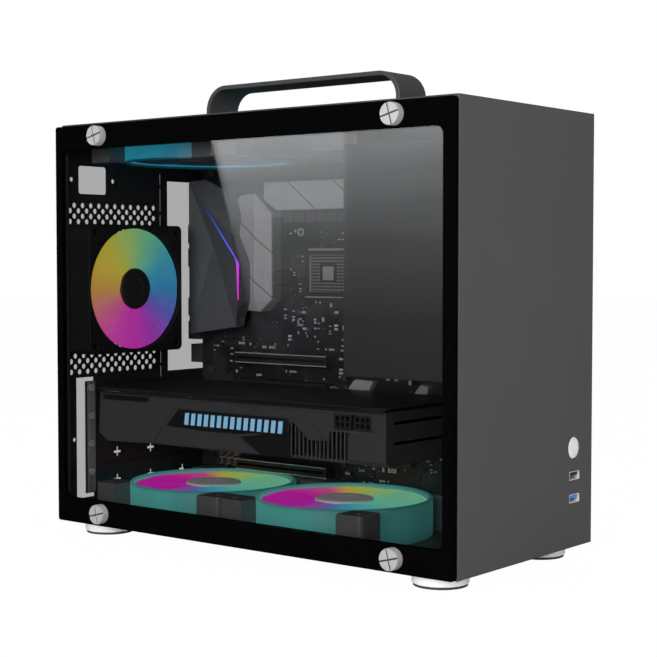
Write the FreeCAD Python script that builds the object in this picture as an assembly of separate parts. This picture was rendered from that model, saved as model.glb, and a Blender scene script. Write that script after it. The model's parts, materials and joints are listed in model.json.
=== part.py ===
import FreeCAD, Part
import math
import os

# A small desktop computer case with a glass side, a strap handle and a complete set of parts inside.
# The case is drawn from its own corner: X runs from the rear face to the front face, Y from the outer
# face of the glass to the far side, and Z up from the underside of the body. At the end everything is
# moved so that the origin lies under the middle of the whole case, on the surface that it stands on.

V = FreeCAD.Vector

# Outer body
body_length = 336.0
body_width = 162.5
body_height = 280.0
shell_sheet = 1.0
front_sheet = 1.5
glass_thickness = 4.0
gasket_thickness = 1.0
glass_rear_lip = 1.5
glass_top_gap = 1.5
glass_bottom_gap = 0.3
glass_corner_radius = 2.0
rear_rim = 12.0
front_rim = 8.0
top_rim = 16.0
bottom_rim = 16.0
panel_fold = 10.0
rear_fold = 6.0
loose_gap = 0.3
running_gap = 0.05

# Thumbscrews that hold the glass
thumb_head_radius = 6.75
thumb_head_height = 6.0
thumb_head_chamfer = 0.6
thumb_shank_radius = 1.95
thumb_slot_width = 0.9
thumb_slot_depth = 1.0
thumb_slot_turn = 15.0
thumb_inset_rear = 43.5
thumb_inset_front = 42.0
thumb_inset_top = 9.7
thumb_inset_bottom = 9.2
glass_hole_radius = 3.2
nut_radius = 4.2
nut_height = 3.0
gasket_width = 4.0
gasket_inset = 1.0

# Small machine screws and fan screws
screw_shank_radius = 1.5
screw_head_radius = 2.9
screw_head_height = 1.4
fan_screw_radius = 1.9
fan_screw_grip = 8.0
fan_head_radius = 3.6
round_sides = 20
small_sides = 12
screw_sides = 6
shank_sides = 4

# Feet
foot_height = 8.0
foot_radius = 17.3
foot_screw_depth = 2.0
foot_pad_height = 1.5
foot_pad_hole = 4.5
foot_inset_rear = 26.0
foot_inset_front = 25.0
foot_near_y = 24.0
foot_inset_far = 25.0
foot_rim_radius = 0.8

# Handle
handle_rear_x = 80.0
handle_span = 168.0
handle_rise = 27.0
handle_strap = 3.0
handle_width = 30.0
handle_corner = 17.0
handle_foot = 14.0

# Cooling fans
fan_size = 120.0
fan_depth = 25.0
fan_wall = 2.5
fan_corner = 20.0
fan_corner_chamfer = 3.0
fan_hole_share = 0.875
fan_hub_radius = 20.0
fan_tip_gap = 1.2
fan_base_height = 3.5
fan_arm_width = 4.0
fan_gap = 0.3
fan_near_y = 24.0
rear_fan_size = 92.0
rear_fan_wall = 1.3
rear_fan_hub_radius = 14.8
rear_fan_bottom = 118.4
bottom_fan_rear_x = 11.0
top_fan_rear_x = 7.6
shaft_radius = 1.55
blade_count = 7
small_blade_count = 9
blade_thickness = 1.8
hub_chamfer = 1.0
blade_root_share = 0.93
blade_root_width = 0.66
blade_tip_width = 0.74
blade_root_pitch = 34.0
blade_tip_pitch = 18.0
blade_camber = 1.2
blade_sweep = 10.0
shaft_end_gap = 0.5
rotor_face_gap = 1.0
rear_fan_corner = 15.0

# Rear panel openings
inlet_centre_y = 32.6
inlet_centre_z = 242.5
inlet_width = 27.0
inlet_height = 20.0
inlet_corner = 2.0
inlet_screw_spacing = 40.0
inlet_screw_radius = 1.75
io_near_y = 108.5
io_width = 44.45
io_bottom_z = 100.5
io_height = 144.4
hole_pitch_y = 7.9
hole_row_pitch = 3.85
hole_radius = 2.0
holes_per_row = 11
holes_first_y = 11.2
upper_hole_rows = 2
lower_hole_rows = 2
hole_row_clear = 2.2
middle_hole_step = 2
slit_width = 1.2
slit_y = 101.3
slit_lengths = (8.0, 17.0, 12.0)
slit_gap = 3.0
slit_top_z = 250.0

# Expansion slots
slot_pitch = 20.32
slot_count = 4
slot_first_z = 87.44
slot_near_y = 38.5
slot_far_y = 126.0
slot_opening_height = 13.0
rail_near_y = 24.5
rail_width = 8.0
rail_gap_near = 9.0
rail_gap_end = 3.0
cover_height = 18.4
cover_far_y = 137.0
cover_sheet = 0.9
cross_length = 7.5
cross_width = 1.8
cross_count = 3
cross_first_y = 54.6
cross_pitch = 34.3
rail_screw_offset = 5.4
cross_drop = 3.0
bracket_window_count = 4
bracket_window_near_y = 46.0
bracket_window_pitch = 20.0
bracket_window_length = 14.0
bracket_window_height = 6.4
side_slit_y = 33.6
side_slit_width = 2.9
side_slit_z = 37.6
side_slit_height = 11.8
small_hole_y = 13.6
small_hole_z = 56.2

# Vents in the top and the bottom
vent_slot_width = 8.0
vent_rib = 6.0
vent_radius = 52.0
vent_middle_rib = 8.0

# Front controls
button_y = 139.2
button_z = 64.4
button_radius = 7.0
button_lip = 1.5
button_lip_height = 1.2
button_travel = 1.2
button_dome = 0.8
button_flat_share = 0.6
stem_radius = 2.5
switch_depth = 8.0
switch_width = 10.0
io_board_sheet = 1.6
io_board_near_y = 126.0
io_board_width = 28.0
io_board_low_z = 22.0
io_board_height = 54.0
post_radius = 2.5
post_inset = 4.0
post_length = 16.5
usb_width = 12.8
usb_height = 5.7
usb_wall = 0.4
usb_centre_y = 140.2
usb_upper_z = 46.4
usb_lower_z = 31.6
usb_tongue_height = 1.8
usb_tongue_side = 0.7
usb_recess = 0.2

# Motherboard tray and board
board_near_y = 146.0
board_thickness = 1.6
board_side = 244.0
board_rear_x = 2.0
board_low_z = 18.0
standoff_height = 6.5
standoff_radius = 3.0
tray_sheet = 1.0
tray_length = 246.2
tray_window = 60.0
tray_cable_slots = (40.0, 150.0)
tray_cable_length = 50.0
tray_cable_low = 4.0
tray_cable_high = 12.0
board_hole_columns = (10.2, 141.0, 235.0)
board_hole_rows = (19.0, 82.0, 234.0)

# Power supply
psu_height = 86.0
psu_width = 150.0
psu_depth = 140.0
psu_front_gap = 0.3
psu_near_y = 10.3
psu_low_z = 114.4
psu_wall = 3.0
psu_fan_radius = 58.0
psu_fan_well = 20.0
psu_hub_radius = 20.0
psu_slot_width = 8.0
psu_slot_rib = 6.0
psu_bracket_sheet = 1.0
psu_bracket_fold = 18.0
psu_bracket_window = 12.0
psu_slot_end = 2.0
psu_inlet_from_fan = 12.0
psu_inlet_from_far = 23.0
psu_inlet_depth = 14.0

# Graphics card
card_near_y = 35.0
card_board_z = 91.2
card_board_thickness = 1.6
card_front_x = 262.3
card_low_z = 56.0
card_wall = 3.0
card_floor = 2.0
card_finger_depth = 6.5
card_finger_rear = 50.0
card_finger_length = 80.0
backplate_sheet = 1.0
card_fan_radius = 39.5
card_fan_hub = 14.0
card_fan_rear_x = 58.0
card_fan_front_x = 142.0
card_collar_wall = 1.6
card_collar_height = 16.0
fin_pitch = 8.0
fin_thickness = 1.0
fin_base = 2.8
fin_first = 18.0
fin_long_from = 184.0
fin_long_to = 232.0
fin_long_drop = 32.6
fin_gap = 1.0
card_edge_gap = 4.0
card_near_gap = 0.5
plate_far_gap = 2.0
plate_rear_gap = 1.0
motor_base_height = 2.4
fan_cap_gap = 2.0
socket_first = 219.3
socket_pitch = 16.0
socket_size = (13.6, 15.0, 9.6)
pin_size = 3.0
pin_pitch = 4.1
pin_depth = 8.0
light_depth = 1.5
light_sheet = 0.8
light_share = 0.97
floor_start = 12.0
link_window = (7.1, 45.5, 2.3, 5.1)
end_slot_height = 2.2
end_slot_drops = (22.2, 9.2)

# Outlines on the card's near face, from the card's rear end and down from its board
card_face_steps = [(234.1, 33.1), (232.1, 31.2), (232.1, 15.2), (215.6, 15.2), (215.1, 21.7), (198.1, 22.2),
                   (185.6, 11.2), (156.1, 22.0), (139.1, 24.4)]
card_face_start = 3.0
card_front_lip = 2.0
card_lower_steps = [(157.0, 0.0), (60.0, 0.0), (10.5, -1.5), (1.6, 4.3)]
light_shape = [(82.1, 9.0), (69.6, 22.2), (72.6, 23.4), (139.1, 22.8), (155.6, 20.4), (182.6, 9.6)]

# Parts on the motherboard
cover_near_y = 120.0
sink_near_y = 132.0
socket_rear_x = 111.5
socket_low_z = 159.0
socket_length = 40.0
socket_height = 33.0
socket_rise = 6.0
socket_wall = 3.0
lever_radius = 0.9
lever_reach = 3.0
socket_pocket = 1.5
socket_middle = (12.0, 11.0)
socket_middle_floor = 3.0
cooler_spacing_x = 57.0
cooler_spacing_z = 66.0
cooler_hole_radius = 2.0
groove_floor = 2.5
groove_end = 2.0
slot_rise = 11.0
slot_rear_x = 46.5
slot_length = 88.0
slot_body = 7.5
dimm_first_x = 168.0
dimm_pitch = 9.5
dimm_count = 4
dimm_low_z = 112.0
dimm_length = 108.0
dimm_rise = 8.0
dimm_body = 6.5
dimm_groove = 2.0
dimm_latch = 6.0
choke_side = 7.0
choke_length = 9.0
choke_column_count = 6
choke_row_count = 7
choke_pitch = 10.2
choke_column_x = 84.0
choke_column_z = 157.0
choke_row_x = 94.0
choke_row_z = 212.5
chipset_x = 176.0
chipset_z = 40.0
chipset_side = 30.0
chipset_rise = 5.0
cap_first_x = 26.0
cap_first_z = 30.6
cap_pitch = 7.0
port_depth = 12.0
port_wall = 1.2
port_mouth = 3.0
port_reach = 0.8

# Ports at the board's rear edge: from the board's lower edge, height and rise
port_places = [(88, 14, 12), (106, 14, 15), (124, 14, 15), (142, 16, 13), (162, 14, 15), (180, 14, 15), (198, 18, 12)]

# Outlines on the motherboard, from its rear lower corner
cover_shape = [(12.5, 226.5), (27, 227.6), (45.3, 219.2), (52.3, 200.7), (50.1, 185.9), (61.5, 165), (61.5, 136),
               (55, 125), (53.8, 117), (12.5, 110.7)]
cover_wall = 3.0
cover_rear_drop = 3.0
cover_front_drop = 5.0
cover_flat = (20.0, 42.0)
left_sink_shape = [(64.6, 216.6), (81, 201.8), (81, 137.6), (70.2, 128.5), (63, 128.5), (62.8, 166), (51.5, 186.2),
                   (53.6, 200.8), (50, 211), (57.7, 216.6)]
left_sink_drop = 3.5
left_sink_ridge = 66.0
top_sink_shape = [(75.5, 224.8), (183, 224.8), (183, 203.6), (88, 203.6), (75.5, 211.6)]
top_sink_drop = 3.0
top_sink_ridge = 214.0
choke_rise = 10.0
cap_radius = 3.0
cap_rise = 8.0

# Places that follow from the sizes above
shell_near = glass_thickness + gasket_thickness
inner_rear = shell_sheet
inner_front = body_length - front_sheet
inner_top = body_height - shell_sheet
inner_far = body_width - shell_sheet
thumb_rear_x = thumb_inset_rear
thumb_front_x = body_length - thumb_inset_front
thumb_top_z = body_height - thumb_inset_top
thumb_bottom_z = thumb_inset_bottom
fan_front_x = fan_size + fan_gap
fan_centre_y = fan_near_y + fan_size / 2
bottom_fan_centres = [bottom_fan_rear_x + fan_size / 2, bottom_fan_rear_x + fan_front_x + fan_size / 2]
top_fan_centres = [top_fan_rear_x + fan_size / 2, top_fan_rear_x + fan_front_x + fan_size / 2]
rear_fan_y = shell_near + shell_sheet + loose_gap + rear_fan_size / 2
rear_fan_z = rear_fan_bottom + rear_fan_size / 2
handle_centre_y = shell_near + (inner_far - shell_near) / 2
tray_near_y = board_near_y + board_thickness + standoff_height
card_far_y = board_near_y - slot_rise - loose_gap
card_rear_x = inner_rear + cover_sheet
board_top_z = board_low_z + board_side
card_top_z = card_board_z + card_board_thickness / 2
card_under_z = card_board_z - card_board_thickness / 2
psu_rear_x = inner_front - psu_front_gap - psu_height
psu_top_z = psu_low_z + psu_depth
foot_places = {
    "foot_rear_near": (foot_inset_rear, foot_near_y),
    "foot_rear_far": (foot_inset_rear, body_width - foot_inset_far),
    "foot_front_near": (body_length - foot_inset_front, foot_near_y),
    "foot_front_far": (body_length - foot_inset_front, body_width - foot_inset_far),
}
slot_heights = [slot_first_z - i * slot_pitch for i in range(slot_count)]


# Basic shapes

def box(x0, x1, y0, y1, z0, z1):
    return Part.makeBox(x1 - x0, y1 - y0, z1 - z0, V(x0, y0, z0))


def rod(radius, start, direction, length):
    return Part.makeCylinder(radius, length, start, direction)


def ring_points(radius, sides, turn=0.0):
    step = 2 * math.pi / sides
    return [(radius * math.cos(turn + i * step), radius * math.sin(turn + i * step)) for i in range(sides)]


def around(radius, sides):
    # Corner radius of a polygon whose flat sides lie at this radius.
    return radius / math.cos(math.pi / sides)


def round_hole(a, b, radius, sides=round_sides):
    return shifted(ring_points(around(radius, sides), sides, math.pi / sides), a, b)


def place_flat(points, plane, at):
    if plane == "YZ":
        return [V(at, a, b) for a, b in points]
    if plane == "XZ":
        return [V(a, at, b) for a, b in points]
    return [V(a, b, at) for a, b in points]


def wire_of(points, plane, at):
    placed = place_flat(points, plane, at)
    return Part.makePolygon(placed + [placed[0]])


def along(plane, length):
    if plane == "YZ":
        return V(length, 0, 0)
    if plane == "XZ":
        return V(0, length, 0)
    return V(0, 0, length)


def prism(points, plane, start, length, holes=()):
    wires = [wire_of(points, plane, start)] + [wire_of(hole, plane, start) for hole in holes]
    face = Part.makeFace(wires, "Part::FaceMakerBullseye")
    return face.extrude(along(plane, length))


def rectangle(a0, a1, b0, b1):
    return [(a0, b0), (a1, b0), (a1, b1), (a0, b1)]


def shifted(points, a, b):
    return [(p + a, q + b) for p, q in points]


def rounded_rectangle(a0, a1, b0, b1, radius, steps=3):
    corners = [(a1 - radius, b1 - radius, 0), (a0 + radius, b1 - radius, 1),
               (a0 + radius, b0 + radius, 2), (a1 - radius, b0 + radius, 3)]
    points = []
    for a, b, quarter in corners:
        for i in range(steps + 1):
            angle = math.pi / 2 * (quarter + i / steps)
            points.append((a + radius * math.cos(angle), b + radius * math.sin(angle)))
    return points


def polygon_rod(radius, sides, start, direction, length):
    # The corners lie at this radius.
    solid = prism(ring_points(radius, sides, math.pi / sides), "XY", 0, length)
    solid.Placement = FreeCAD.Placement(start, FreeCAD.Rotation(V(0, 0, 1), direction))
    return solid


def polyhedron(loops):
    faces = [Part.Face(Part.makePolygon(loop + loop[:1])) for loop in loops]
    return Part.makeSolid(Part.makeShell(faces))


def turned(profile, sides):
    # A turned form with flat sides: each entry is a corner radius and a height, from the base up.
    rings = [[V(a, b, z) for a, b in ring_points(radius, sides, math.pi / sides)] for radius, z in profile]
    loops = [rings[0][::-1], rings[-1]]
    for low, high in zip(rings, rings[1:]):
        for i in range(sides):
            j = (i + 1) % sides
            loops.append([low[i], low[j], high[j], high[i]])
    return polyhedron(loops).removeSplitter()


def screw(head_point, direction, grip, head_radius=screw_head_radius, shank_radius=screw_shank_radius):
    # The head's underside lies at head_point and the shank runs along direction.
    unit = V(direction).normalize()
    head = polygon_rod(head_radius, screw_sides, head_point - unit * screw_head_height, unit, screw_head_height)
    shank = polygon_rod(shank_radius, shank_sides, head_point, unit, grip)
    return head.fuse(shank).removeSplitter()


def fuse_all(shapes):
    whole = shapes[0]
    if len(shapes) > 1:
        whole = shapes[0].fuse(shapes[1:])
    return whole.removeSplitter()


def cut_all(shape, tools):
    return shape.cut(Part.makeCompound(tools))


def group(shapes):
    return Part.makeCompound(shapes)


# Vents: straight slots across a round field

def vent_slots(centre_a, centre_b, radius):
    slots = []
    pitch = vent_slot_width + vent_rib
    count = int(radius / pitch)
    for i in range(-count, count + 1):
        a = centre_a + i * pitch
        reach = math.sqrt(radius ** 2 - (abs(i * pitch) + vent_slot_width / 2) ** 2)
        slots.append(rectangle(a - vent_slot_width / 2, a + vent_slot_width / 2, centre_b - reach, centre_b + reach))
    return slots


def fan_screw_spots(centre_a, centre_b, size):
    half = size * fan_hole_share / 2
    return [(centre_a + i * half, centre_b + j * half) for i in (-1, 1) for j in (-1, 1)]


def screw_hole(a, b, radius):
    return round_hole(a, b, radius, shank_sides)


# Outer panels

def front_panel():
    holes = [round_hole(button_y, button_z, button_radius + loose_gap)]
    for z in (usb_upper_z, usb_lower_z):
        holes.append(rectangle(usb_centre_y - usb_width / 2 - loose_gap, usb_centre_y + usb_width / 2 + loose_gap,
                               z - usb_height / 2 - loose_gap, z + usb_height / 2 + loose_gap))
    face = prism(rectangle(shell_near, body_width, 0, body_height), "YZ", inner_front, front_sheet, holes)
    fold_x = inner_front - panel_fold
    side_fold = box(fold_x, inner_front, inner_far - shell_sheet, inner_far,
                    shell_sheet * 2, inner_top - shell_sheet)
    top_fold = box(fold_x, inner_front, shell_near + shell_sheet, inner_far, inner_top - shell_sheet, inner_top)
    bottom_fold = box(fold_x, inner_front, shell_near + shell_sheet, inner_far, shell_sheet, shell_sheet * 2)
    rim = box(inner_front - front_rim, inner_front, shell_near, shell_near + shell_sheet, shell_sheet, inner_top)
    posts = [polygon_rod(post_radius, screw_sides, V(inner_front - post_length, y, z), V(1, 0, 0), post_length)
             for y, z in post_places()]
    return fuse_all([face, side_fold, top_fold, bottom_fold, rim] + posts)


def post_places():
    y = io_board_near_y + post_inset
    return [(y, io_board_low_z + post_inset), (y, io_board_low_z + io_board_height - post_inset)]


def rim_holes(z):
    return [round_hole(x, z, thumb_shank_radius + loose_gap, small_sides) for x in (thumb_rear_x, thumb_front_x)]


def flat_panel(z, holes):
    return prism(rectangle(0, inner_front, shell_near, inner_far), "XY", z, shell_sheet, holes)


def top_panel():
    holes = []
    for x in top_fan_centres:
        holes += vent_slots(x, fan_centre_y, vent_radius)
        holes += [screw_hole(a, b, fan_screw_radius + loose_gap)
                  for a, b in fan_screw_spots(x, fan_centre_y, fan_size)]
    holes = keep_clear(holes, handle_pads())
    holes += [screw_hole(x, y, screw_shank_radius + loose_gap / 2) for x, y in handle_screw_spots()]
    sheet = flat_panel(inner_top, holes)
    rim = prism(rectangle(rear_rim, inner_front - front_rim, body_height - top_rim, inner_top),
                "XZ", shell_near, shell_sheet, rim_holes(thumb_top_z))
    return fuse_all([sheet, rim])


def handle_pads():
    margin = vent_rib / 2
    low = handle_centre_y - handle_width / 2 - margin
    high = handle_centre_y + handle_width / 2 + margin
    rear = (handle_rear_x - handle_foot - margin, handle_rear_x + handle_strap + margin)
    front = (handle_rear_x + handle_span - handle_strap - margin,
             handle_rear_x + handle_span + handle_foot + margin)
    return [(rear[0], rear[1], low, high), (front[0], front[1], low, high)]


def keep_clear(slots, pads):
    # A slot that meets a pad is shortened to end beside it.
    kept = []
    for slot in slots:
        xs = [p[0] for p in slot]
        ys = [p[1] for p in slot]
        x0, x1, y0, y1 = min(xs), max(xs), min(ys), max(ys)
        blocked = [pad for pad in pads if x1 > pad[0] and x0 < pad[1] and y1 > pad[2] and y0 < pad[3]]
        if not blocked:
            kept.append(slot)
            continue
        low, high = blocked[0][2], blocked[0][3]
        if y0 < low - vent_slot_width:
            kept.append(rectangle(x0, x1, y0, low))
        if y1 > high + vent_slot_width:
            kept.append(rectangle(x0, x1, high, y1))
    return kept


def bottom_panel():
    holes = []
    for x in bottom_fan_centres:
        holes += vent_slots(x, fan_centre_y, vent_radius)
        holes += [screw_hole(a, b, fan_screw_radius + loose_gap)
                  for a, b in fan_screw_spots(x, fan_centre_y, fan_size)]
    holes += [screw_hole(x, y, screw_shank_radius + loose_gap / 2) for x, y in foot_places.values()]
    sheet = flat_panel(0, holes)
    rim = prism(rectangle(rear_rim, inner_front - front_rim, shell_sheet, bottom_rim),
                "XZ", shell_near, shell_sheet, rim_holes(thumb_bottom_z))
    return fuse_all([sheet, rim])


def right_side_panel():
    holes = [screw_hole(x, z, screw_shank_radius + loose_gap / 2) for x, z in side_screw_spots()]
    return prism(rectangle(0, inner_front, 0, body_height), "XZ", inner_far, shell_sheet, holes)


def side_screw_spots():
    inset = panel_fold / 2
    rear_x = shell_sheet + rear_fold / 2
    front_x = inner_front - inset
    return [(x, z) for x in (rear_x, front_x) for z in (body_height * 0.12, body_height * 0.88)]


def perforation():
    # Staggered rows of holes above and below the fan at full pitch, and a coarser field behind it.
    fan_low = rear_fan_z - rear_fan_size / 2 - hole_row_clear
    fan_high = rear_fan_z + rear_fan_size / 2 + hole_row_clear
    spots = []
    for row in range(upper_hole_rows):
        spots += row_spots(fan_high + row * hole_row_pitch, row)
    for row in range(lower_hole_rows):
        spots += row_spots(fan_low - row * hole_row_pitch, row)
    reach = rear_fan_size / 2 - rear_fan_wall - hole_radius * 2
    step_y = hole_pitch_y * middle_hole_step
    step_z = hole_row_pitch * middle_hole_step * 2
    half_rows = int(reach / step_z)
    half_columns = int(reach / step_y) + 1
    for i in range(-half_rows, half_rows + 1):
        for j in range(-half_columns, half_columns + 1):
            y = (j + (i % 2) / 2) * step_y
            z = i * step_z
            distance = math.hypot(y, z)
            if rear_fan_hub_radius + hole_radius < distance < reach:
                spots.append((rear_fan_y + y, rear_fan_z + z))
    return [shifted(ring_points(hole_radius, shank_sides), y, z) for y, z in spots]


def row_spots(z, row):
    start = holes_first_y + (row % 2) * hole_pitch_y / 2
    return [(start + i * hole_pitch_y, z) for i in range(holes_per_row)]


def rail_opening():
    low = slot_heights[-1] - slot_pitch / 2
    high = slot_heights[0] + slot_pitch / 2
    near = rail_near_y - rail_gap_near
    right = rail_near_y + rail_width
    return [(near, low - rail_gap_end), (right, low - rail_gap_end), (right, low), (rail_near_y, low),
            (rail_near_y, high), (right, high), (right, high + rail_gap_end), (near, high + rail_gap_end)]


def slit_holes():
    holes = []
    z = slit_top_z
    for length in slit_lengths:
        holes.append(rectangle(slit_y - slit_width / 2, slit_y + slit_width / 2, z - length, z))
        z -= length + slit_gap
    return holes


def rear_panel():
    holes = [rounded_rectangle(inlet_centre_y - inlet_width / 2, inlet_centre_y + inlet_width / 2,
                               inlet_centre_z - inlet_height / 2, inlet_centre_z + inlet_height / 2, inlet_corner)]
    holes.append(rectangle(io_near_y, io_near_y + io_width, io_bottom_z, io_bottom_z + io_height))
    holes += perforation()
    holes += [screw_hole(a, b, fan_screw_radius + loose_gap)
              for a, b in fan_screw_spots(rear_fan_y, rear_fan_z, rear_fan_size)]
    holes.append(rail_opening())
    for z in slot_heights:
        holes.append(rectangle(slot_near_y, slot_far_y, z - slot_opening_height / 2, z + slot_opening_height / 2))
        holes.append(screw_hole(rail_near_y + rail_width / 2, z + rail_screw_offset,
                                screw_shank_radius + loose_gap / 2))
    holes.append(rectangle(side_slit_y, side_slit_y + side_slit_width, side_slit_z, side_slit_z + side_slit_height))
    holes.append(screw_hole(small_hole_y, small_hole_z, screw_shank_radius))
    holes += slit_holes()
    sheet = prism(rectangle(shell_near, inner_far, shell_sheet, inner_top), "YZ", 0, shell_sheet, holes)
    sheet = cut_all(sheet, [rod(inlet_screw_radius, V(0, y, inlet_centre_z), V(1, 0, 0), shell_sheet)
                            for y in (inlet_centre_y - inlet_screw_spacing / 2,
                                      inlet_centre_y + inlet_screw_spacing / 2)])
    rim = box(shell_sheet, rear_rim, shell_near, shell_near + shell_sheet, shell_sheet, inner_top)
    fold_x = shell_sheet + rear_fold
    far_fold = box(shell_sheet, fold_x, inner_far - shell_sheet, inner_far, shell_sheet, inner_top)
    top_fold = box(shell_sheet, fold_x, shell_near + shell_sheet, tray_near_y, inner_top - shell_sheet, inner_top)
    bottom_fold = box(shell_sheet, fold_x, shell_near + shell_sheet, tray_near_y, shell_sheet, shell_sheet * 2)
    return fuse_all([sheet, rim, far_fold, top_fold, bottom_fold])


def motherboard_tray():
    half = tray_window / 2
    x = socket_rear_x + socket_length / 2
    z = socket_low_z + socket_height / 2
    holes = [rectangle(x - half, x + half, z - half, z + half)]
    for start in tray_cable_slots:
        holes.append(rectangle(start, start + tray_cable_length, tray_cable_low, tray_cable_high))
    sheet = prism(rectangle(inner_rear, tray_length, shell_sheet, inner_top), "XZ", tray_near_y, tray_sheet, holes)
    fold = box(tray_length - tray_sheet, tray_length, tray_near_y + tray_sheet, inner_far, shell_sheet, inner_top)
    return fuse_all([sheet, fold])


# Glass and its fixings

def glass_outline():
    return rounded_rectangle(-glass_rear_lip, body_length, glass_bottom_gap, body_height - glass_top_gap,
                             glass_corner_radius)


def thumb_places():
    return {
        "thumbscrew_rear_top": (thumb_rear_x, thumb_top_z),
        "thumbscrew_front_top": (thumb_front_x, thumb_top_z),
        "thumbscrew_rear_bottom": (thumb_rear_x, thumb_bottom_z),
        "thumbscrew_front_bottom": (thumb_front_x, thumb_bottom_z),
    }


def glass_panel():
    holes = [round_hole(x, z, glass_hole_radius, small_sides) for x, z in thumb_places().values()]
    return prism(glass_outline(), "XZ", 0, glass_thickness, holes)


def glass_gasket():
    low = shell_sheet + gasket_inset
    high = body_height - glass_top_gap - gasket_inset
    outer = rectangle(gasket_inset, body_length - gasket_inset, low, high)
    inner = rectangle(gasket_inset + gasket_width, body_length - gasket_inset - gasket_width,
                      low + gasket_width, high - gasket_width)
    return prism(outer, "XZ", glass_thickness, gasket_thickness, [inner])


def thumbscrew(x, z):
    # Drawn about +Z from the tip of the shank to the face of the head.
    shank_length = shell_near + shell_sheet + nut_height
    face = shank_length + thumb_head_height
    r = thumb_head_radius
    head = turned([(r, shank_length), (r, face - thumb_head_chamfer), (r - thumb_head_chamfer, face)], round_sides)
    shank = polygon_rod(thumb_shank_radius, small_sides, V(0, 0, 0), V(0, 0, 1), shank_length)
    slots = []
    for turn in (-thumb_slot_turn, 90 - thumb_slot_turn):
        slot = box(-r, r, -thumb_slot_width / 2, thumb_slot_width / 2, face - thumb_slot_depth, face)
        slot.rotate(V(0, 0, 0), V(0, 0, 1), turn)
        slots.append(slot)
    body = cut_all(head.fuse(shank).removeSplitter(), slots)
    return put(body, V(x, shank_length, z), V(0, -1, 0))


def panel_nuts():
    nuts = []
    for x, z in thumb_places().values():
        outer = shifted(ring_points(nut_radius, screw_sides), x, z)
        bore = round_hole(x, z, thumb_shank_radius + running_gap, small_sides)
        nuts.append(prism(outer, "XZ", shell_near + shell_sheet, nut_height, [bore]))
    return group(nuts)


# Handle and feet

def handle():
    outer = rounded_rectangle(handle_rear_x, handle_rear_x + handle_span, body_height - handle_corner * 2,
                              body_height + handle_rise, handle_corner, 6)
    inner = rounded_rectangle(handle_rear_x + handle_strap, handle_rear_x + handle_span - handle_strap,
                              body_height - handle_corner * 2, body_height + handle_rise - handle_strap,
                              handle_corner - handle_strap, 6)
    near = handle_centre_y - handle_width / 2
    strap = prism(outer, "XZ", near, handle_width).cut(prism(inner, "XZ", near, handle_width))
    above = box(0, body_length, 0, body_width, body_height, body_height + handle_rise)
    strap = strap.common(above)
    feet = []
    for x0, x1 in handle_foot_spans():
        feet.append(box(x0, x1, near, near + handle_width, body_height, body_height + handle_strap))
    body = fuse_all([strap] + feet)
    holes = [prism(screw_hole(x, y, screw_shank_radius + loose_gap / 2), "XY", body_height, handle_strap)
             for x, y in handle_screw_spots()]
    return cut_all(body, holes)


def handle_foot_spans():
    rear = handle_rear_x
    front = handle_rear_x + handle_span
    return [(rear - handle_foot, rear + handle_strap), (front - handle_strap, front + handle_foot)]


def handle_screw_spots():
    offset = handle_width / 4
    xs = (handle_rear_x - handle_foot / 2, handle_rear_x + handle_span + handle_foot / 2)
    return [(x, handle_centre_y + side * offset) for x in xs for side in (-1, 1)]


def foot(x, y):
    # Where a fan screw sits above the foot, a pocket in the foot's top clears the screw's head.
    floor_z = -foot_height + foot_pad_height
    body = turned([(foot_radius - foot_rim_radius, floor_z), (foot_radius, floor_z + foot_rim_radius),
                   (foot_radius, 0)], round_sides)
    tools = [prism(round_hole(0, 0, screw_head_radius + loose_gap, screw_sides), "XY", floor_z, foot_screw_depth),
             prism(screw_hole(0, 0, screw_shank_radius + loose_gap), "XY", floor_z, -floor_z)]
    pocket_depth = screw_head_height + loose_gap
    for centre_x in bottom_fan_centres:
        for a, b in fan_screw_spots(centre_x, fan_centre_y, fan_size):
            if math.hypot(a - x, b - y) < foot_radius:
                pocket = round_hole(a - x, b - y, fan_head_radius + loose_gap, screw_sides)
                tools.append(prism(pocket, "XY", -pocket_depth, pocket_depth))
    body = cut_all(body, tools)
    body.translate(V(x, y, 0))
    return body


def foot_screw_head_z():
    return -foot_height + foot_pad_height + foot_screw_depth


def foot_pads():
    pads = []
    for x, y in foot_places.values():
        outer = shifted(ring_points(foot_radius - foot_rim_radius, round_sides, math.pi / round_sides), x, y)
        hole = round_hole(x, y, foot_pad_hole, screw_sides)
        pads.append(prism(outer, "XY", -foot_height, foot_pad_height, [hole]))
    return group(pads)


def case_screws():
    screws = []
    for x, y in handle_screw_spots():
        screws.append(screw(V(x, y, body_height + handle_strap), V(0, 0, -1), handle_strap + shell_sheet))
    head_z = foot_screw_head_z()
    for x, y in foot_places.values():
        screws.append(screw(V(x, y, head_z), V(0, 0, 1), shell_sheet - head_z))
    for x, z in side_screw_spots():
        screws.append(screw(V(x, body_width, z), V(0, -1, 0), shell_sheet))
    return group(screws)


# Front controls

def power_button():
    # Drawn about +Z from the end of the stem to the domed face.
    start = switch_front_x() + button_travel + loose_gap
    lip = inner_front - start
    face = body_length - start
    cap = turned([(button_radius + button_lip, lip - button_lip_height), (button_radius + button_lip, lip),
                  (button_radius, lip), (button_radius, face - button_dome),
                  (button_radius * button_flat_share, face)], round_sides)
    stem = polygon_rod(stem_radius, small_sides, V(0, 0, 0), V(0, 0, 1), lip - button_lip_height)
    return put(cap.fuse(stem).removeSplitter(), V(start, button_y, button_z), V(1, 0, 0))


def io_board_front_x():
    return inner_front - post_length


def switch_front_x():
    return io_board_front_x() + switch_depth


def front_io_board():
    x1 = io_board_front_x()
    y0 = io_board_near_y
    z0 = io_board_low_z
    sheet = box(x1 - io_board_sheet, x1, y0, y0 + io_board_width, z0, z0 + io_board_height)
    half = switch_width / 2
    button_switch = box(x1, x1 + switch_depth, button_y - half, button_y + half, button_z - half, button_z + half)
    return fuse_all([sheet, button_switch])


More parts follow.
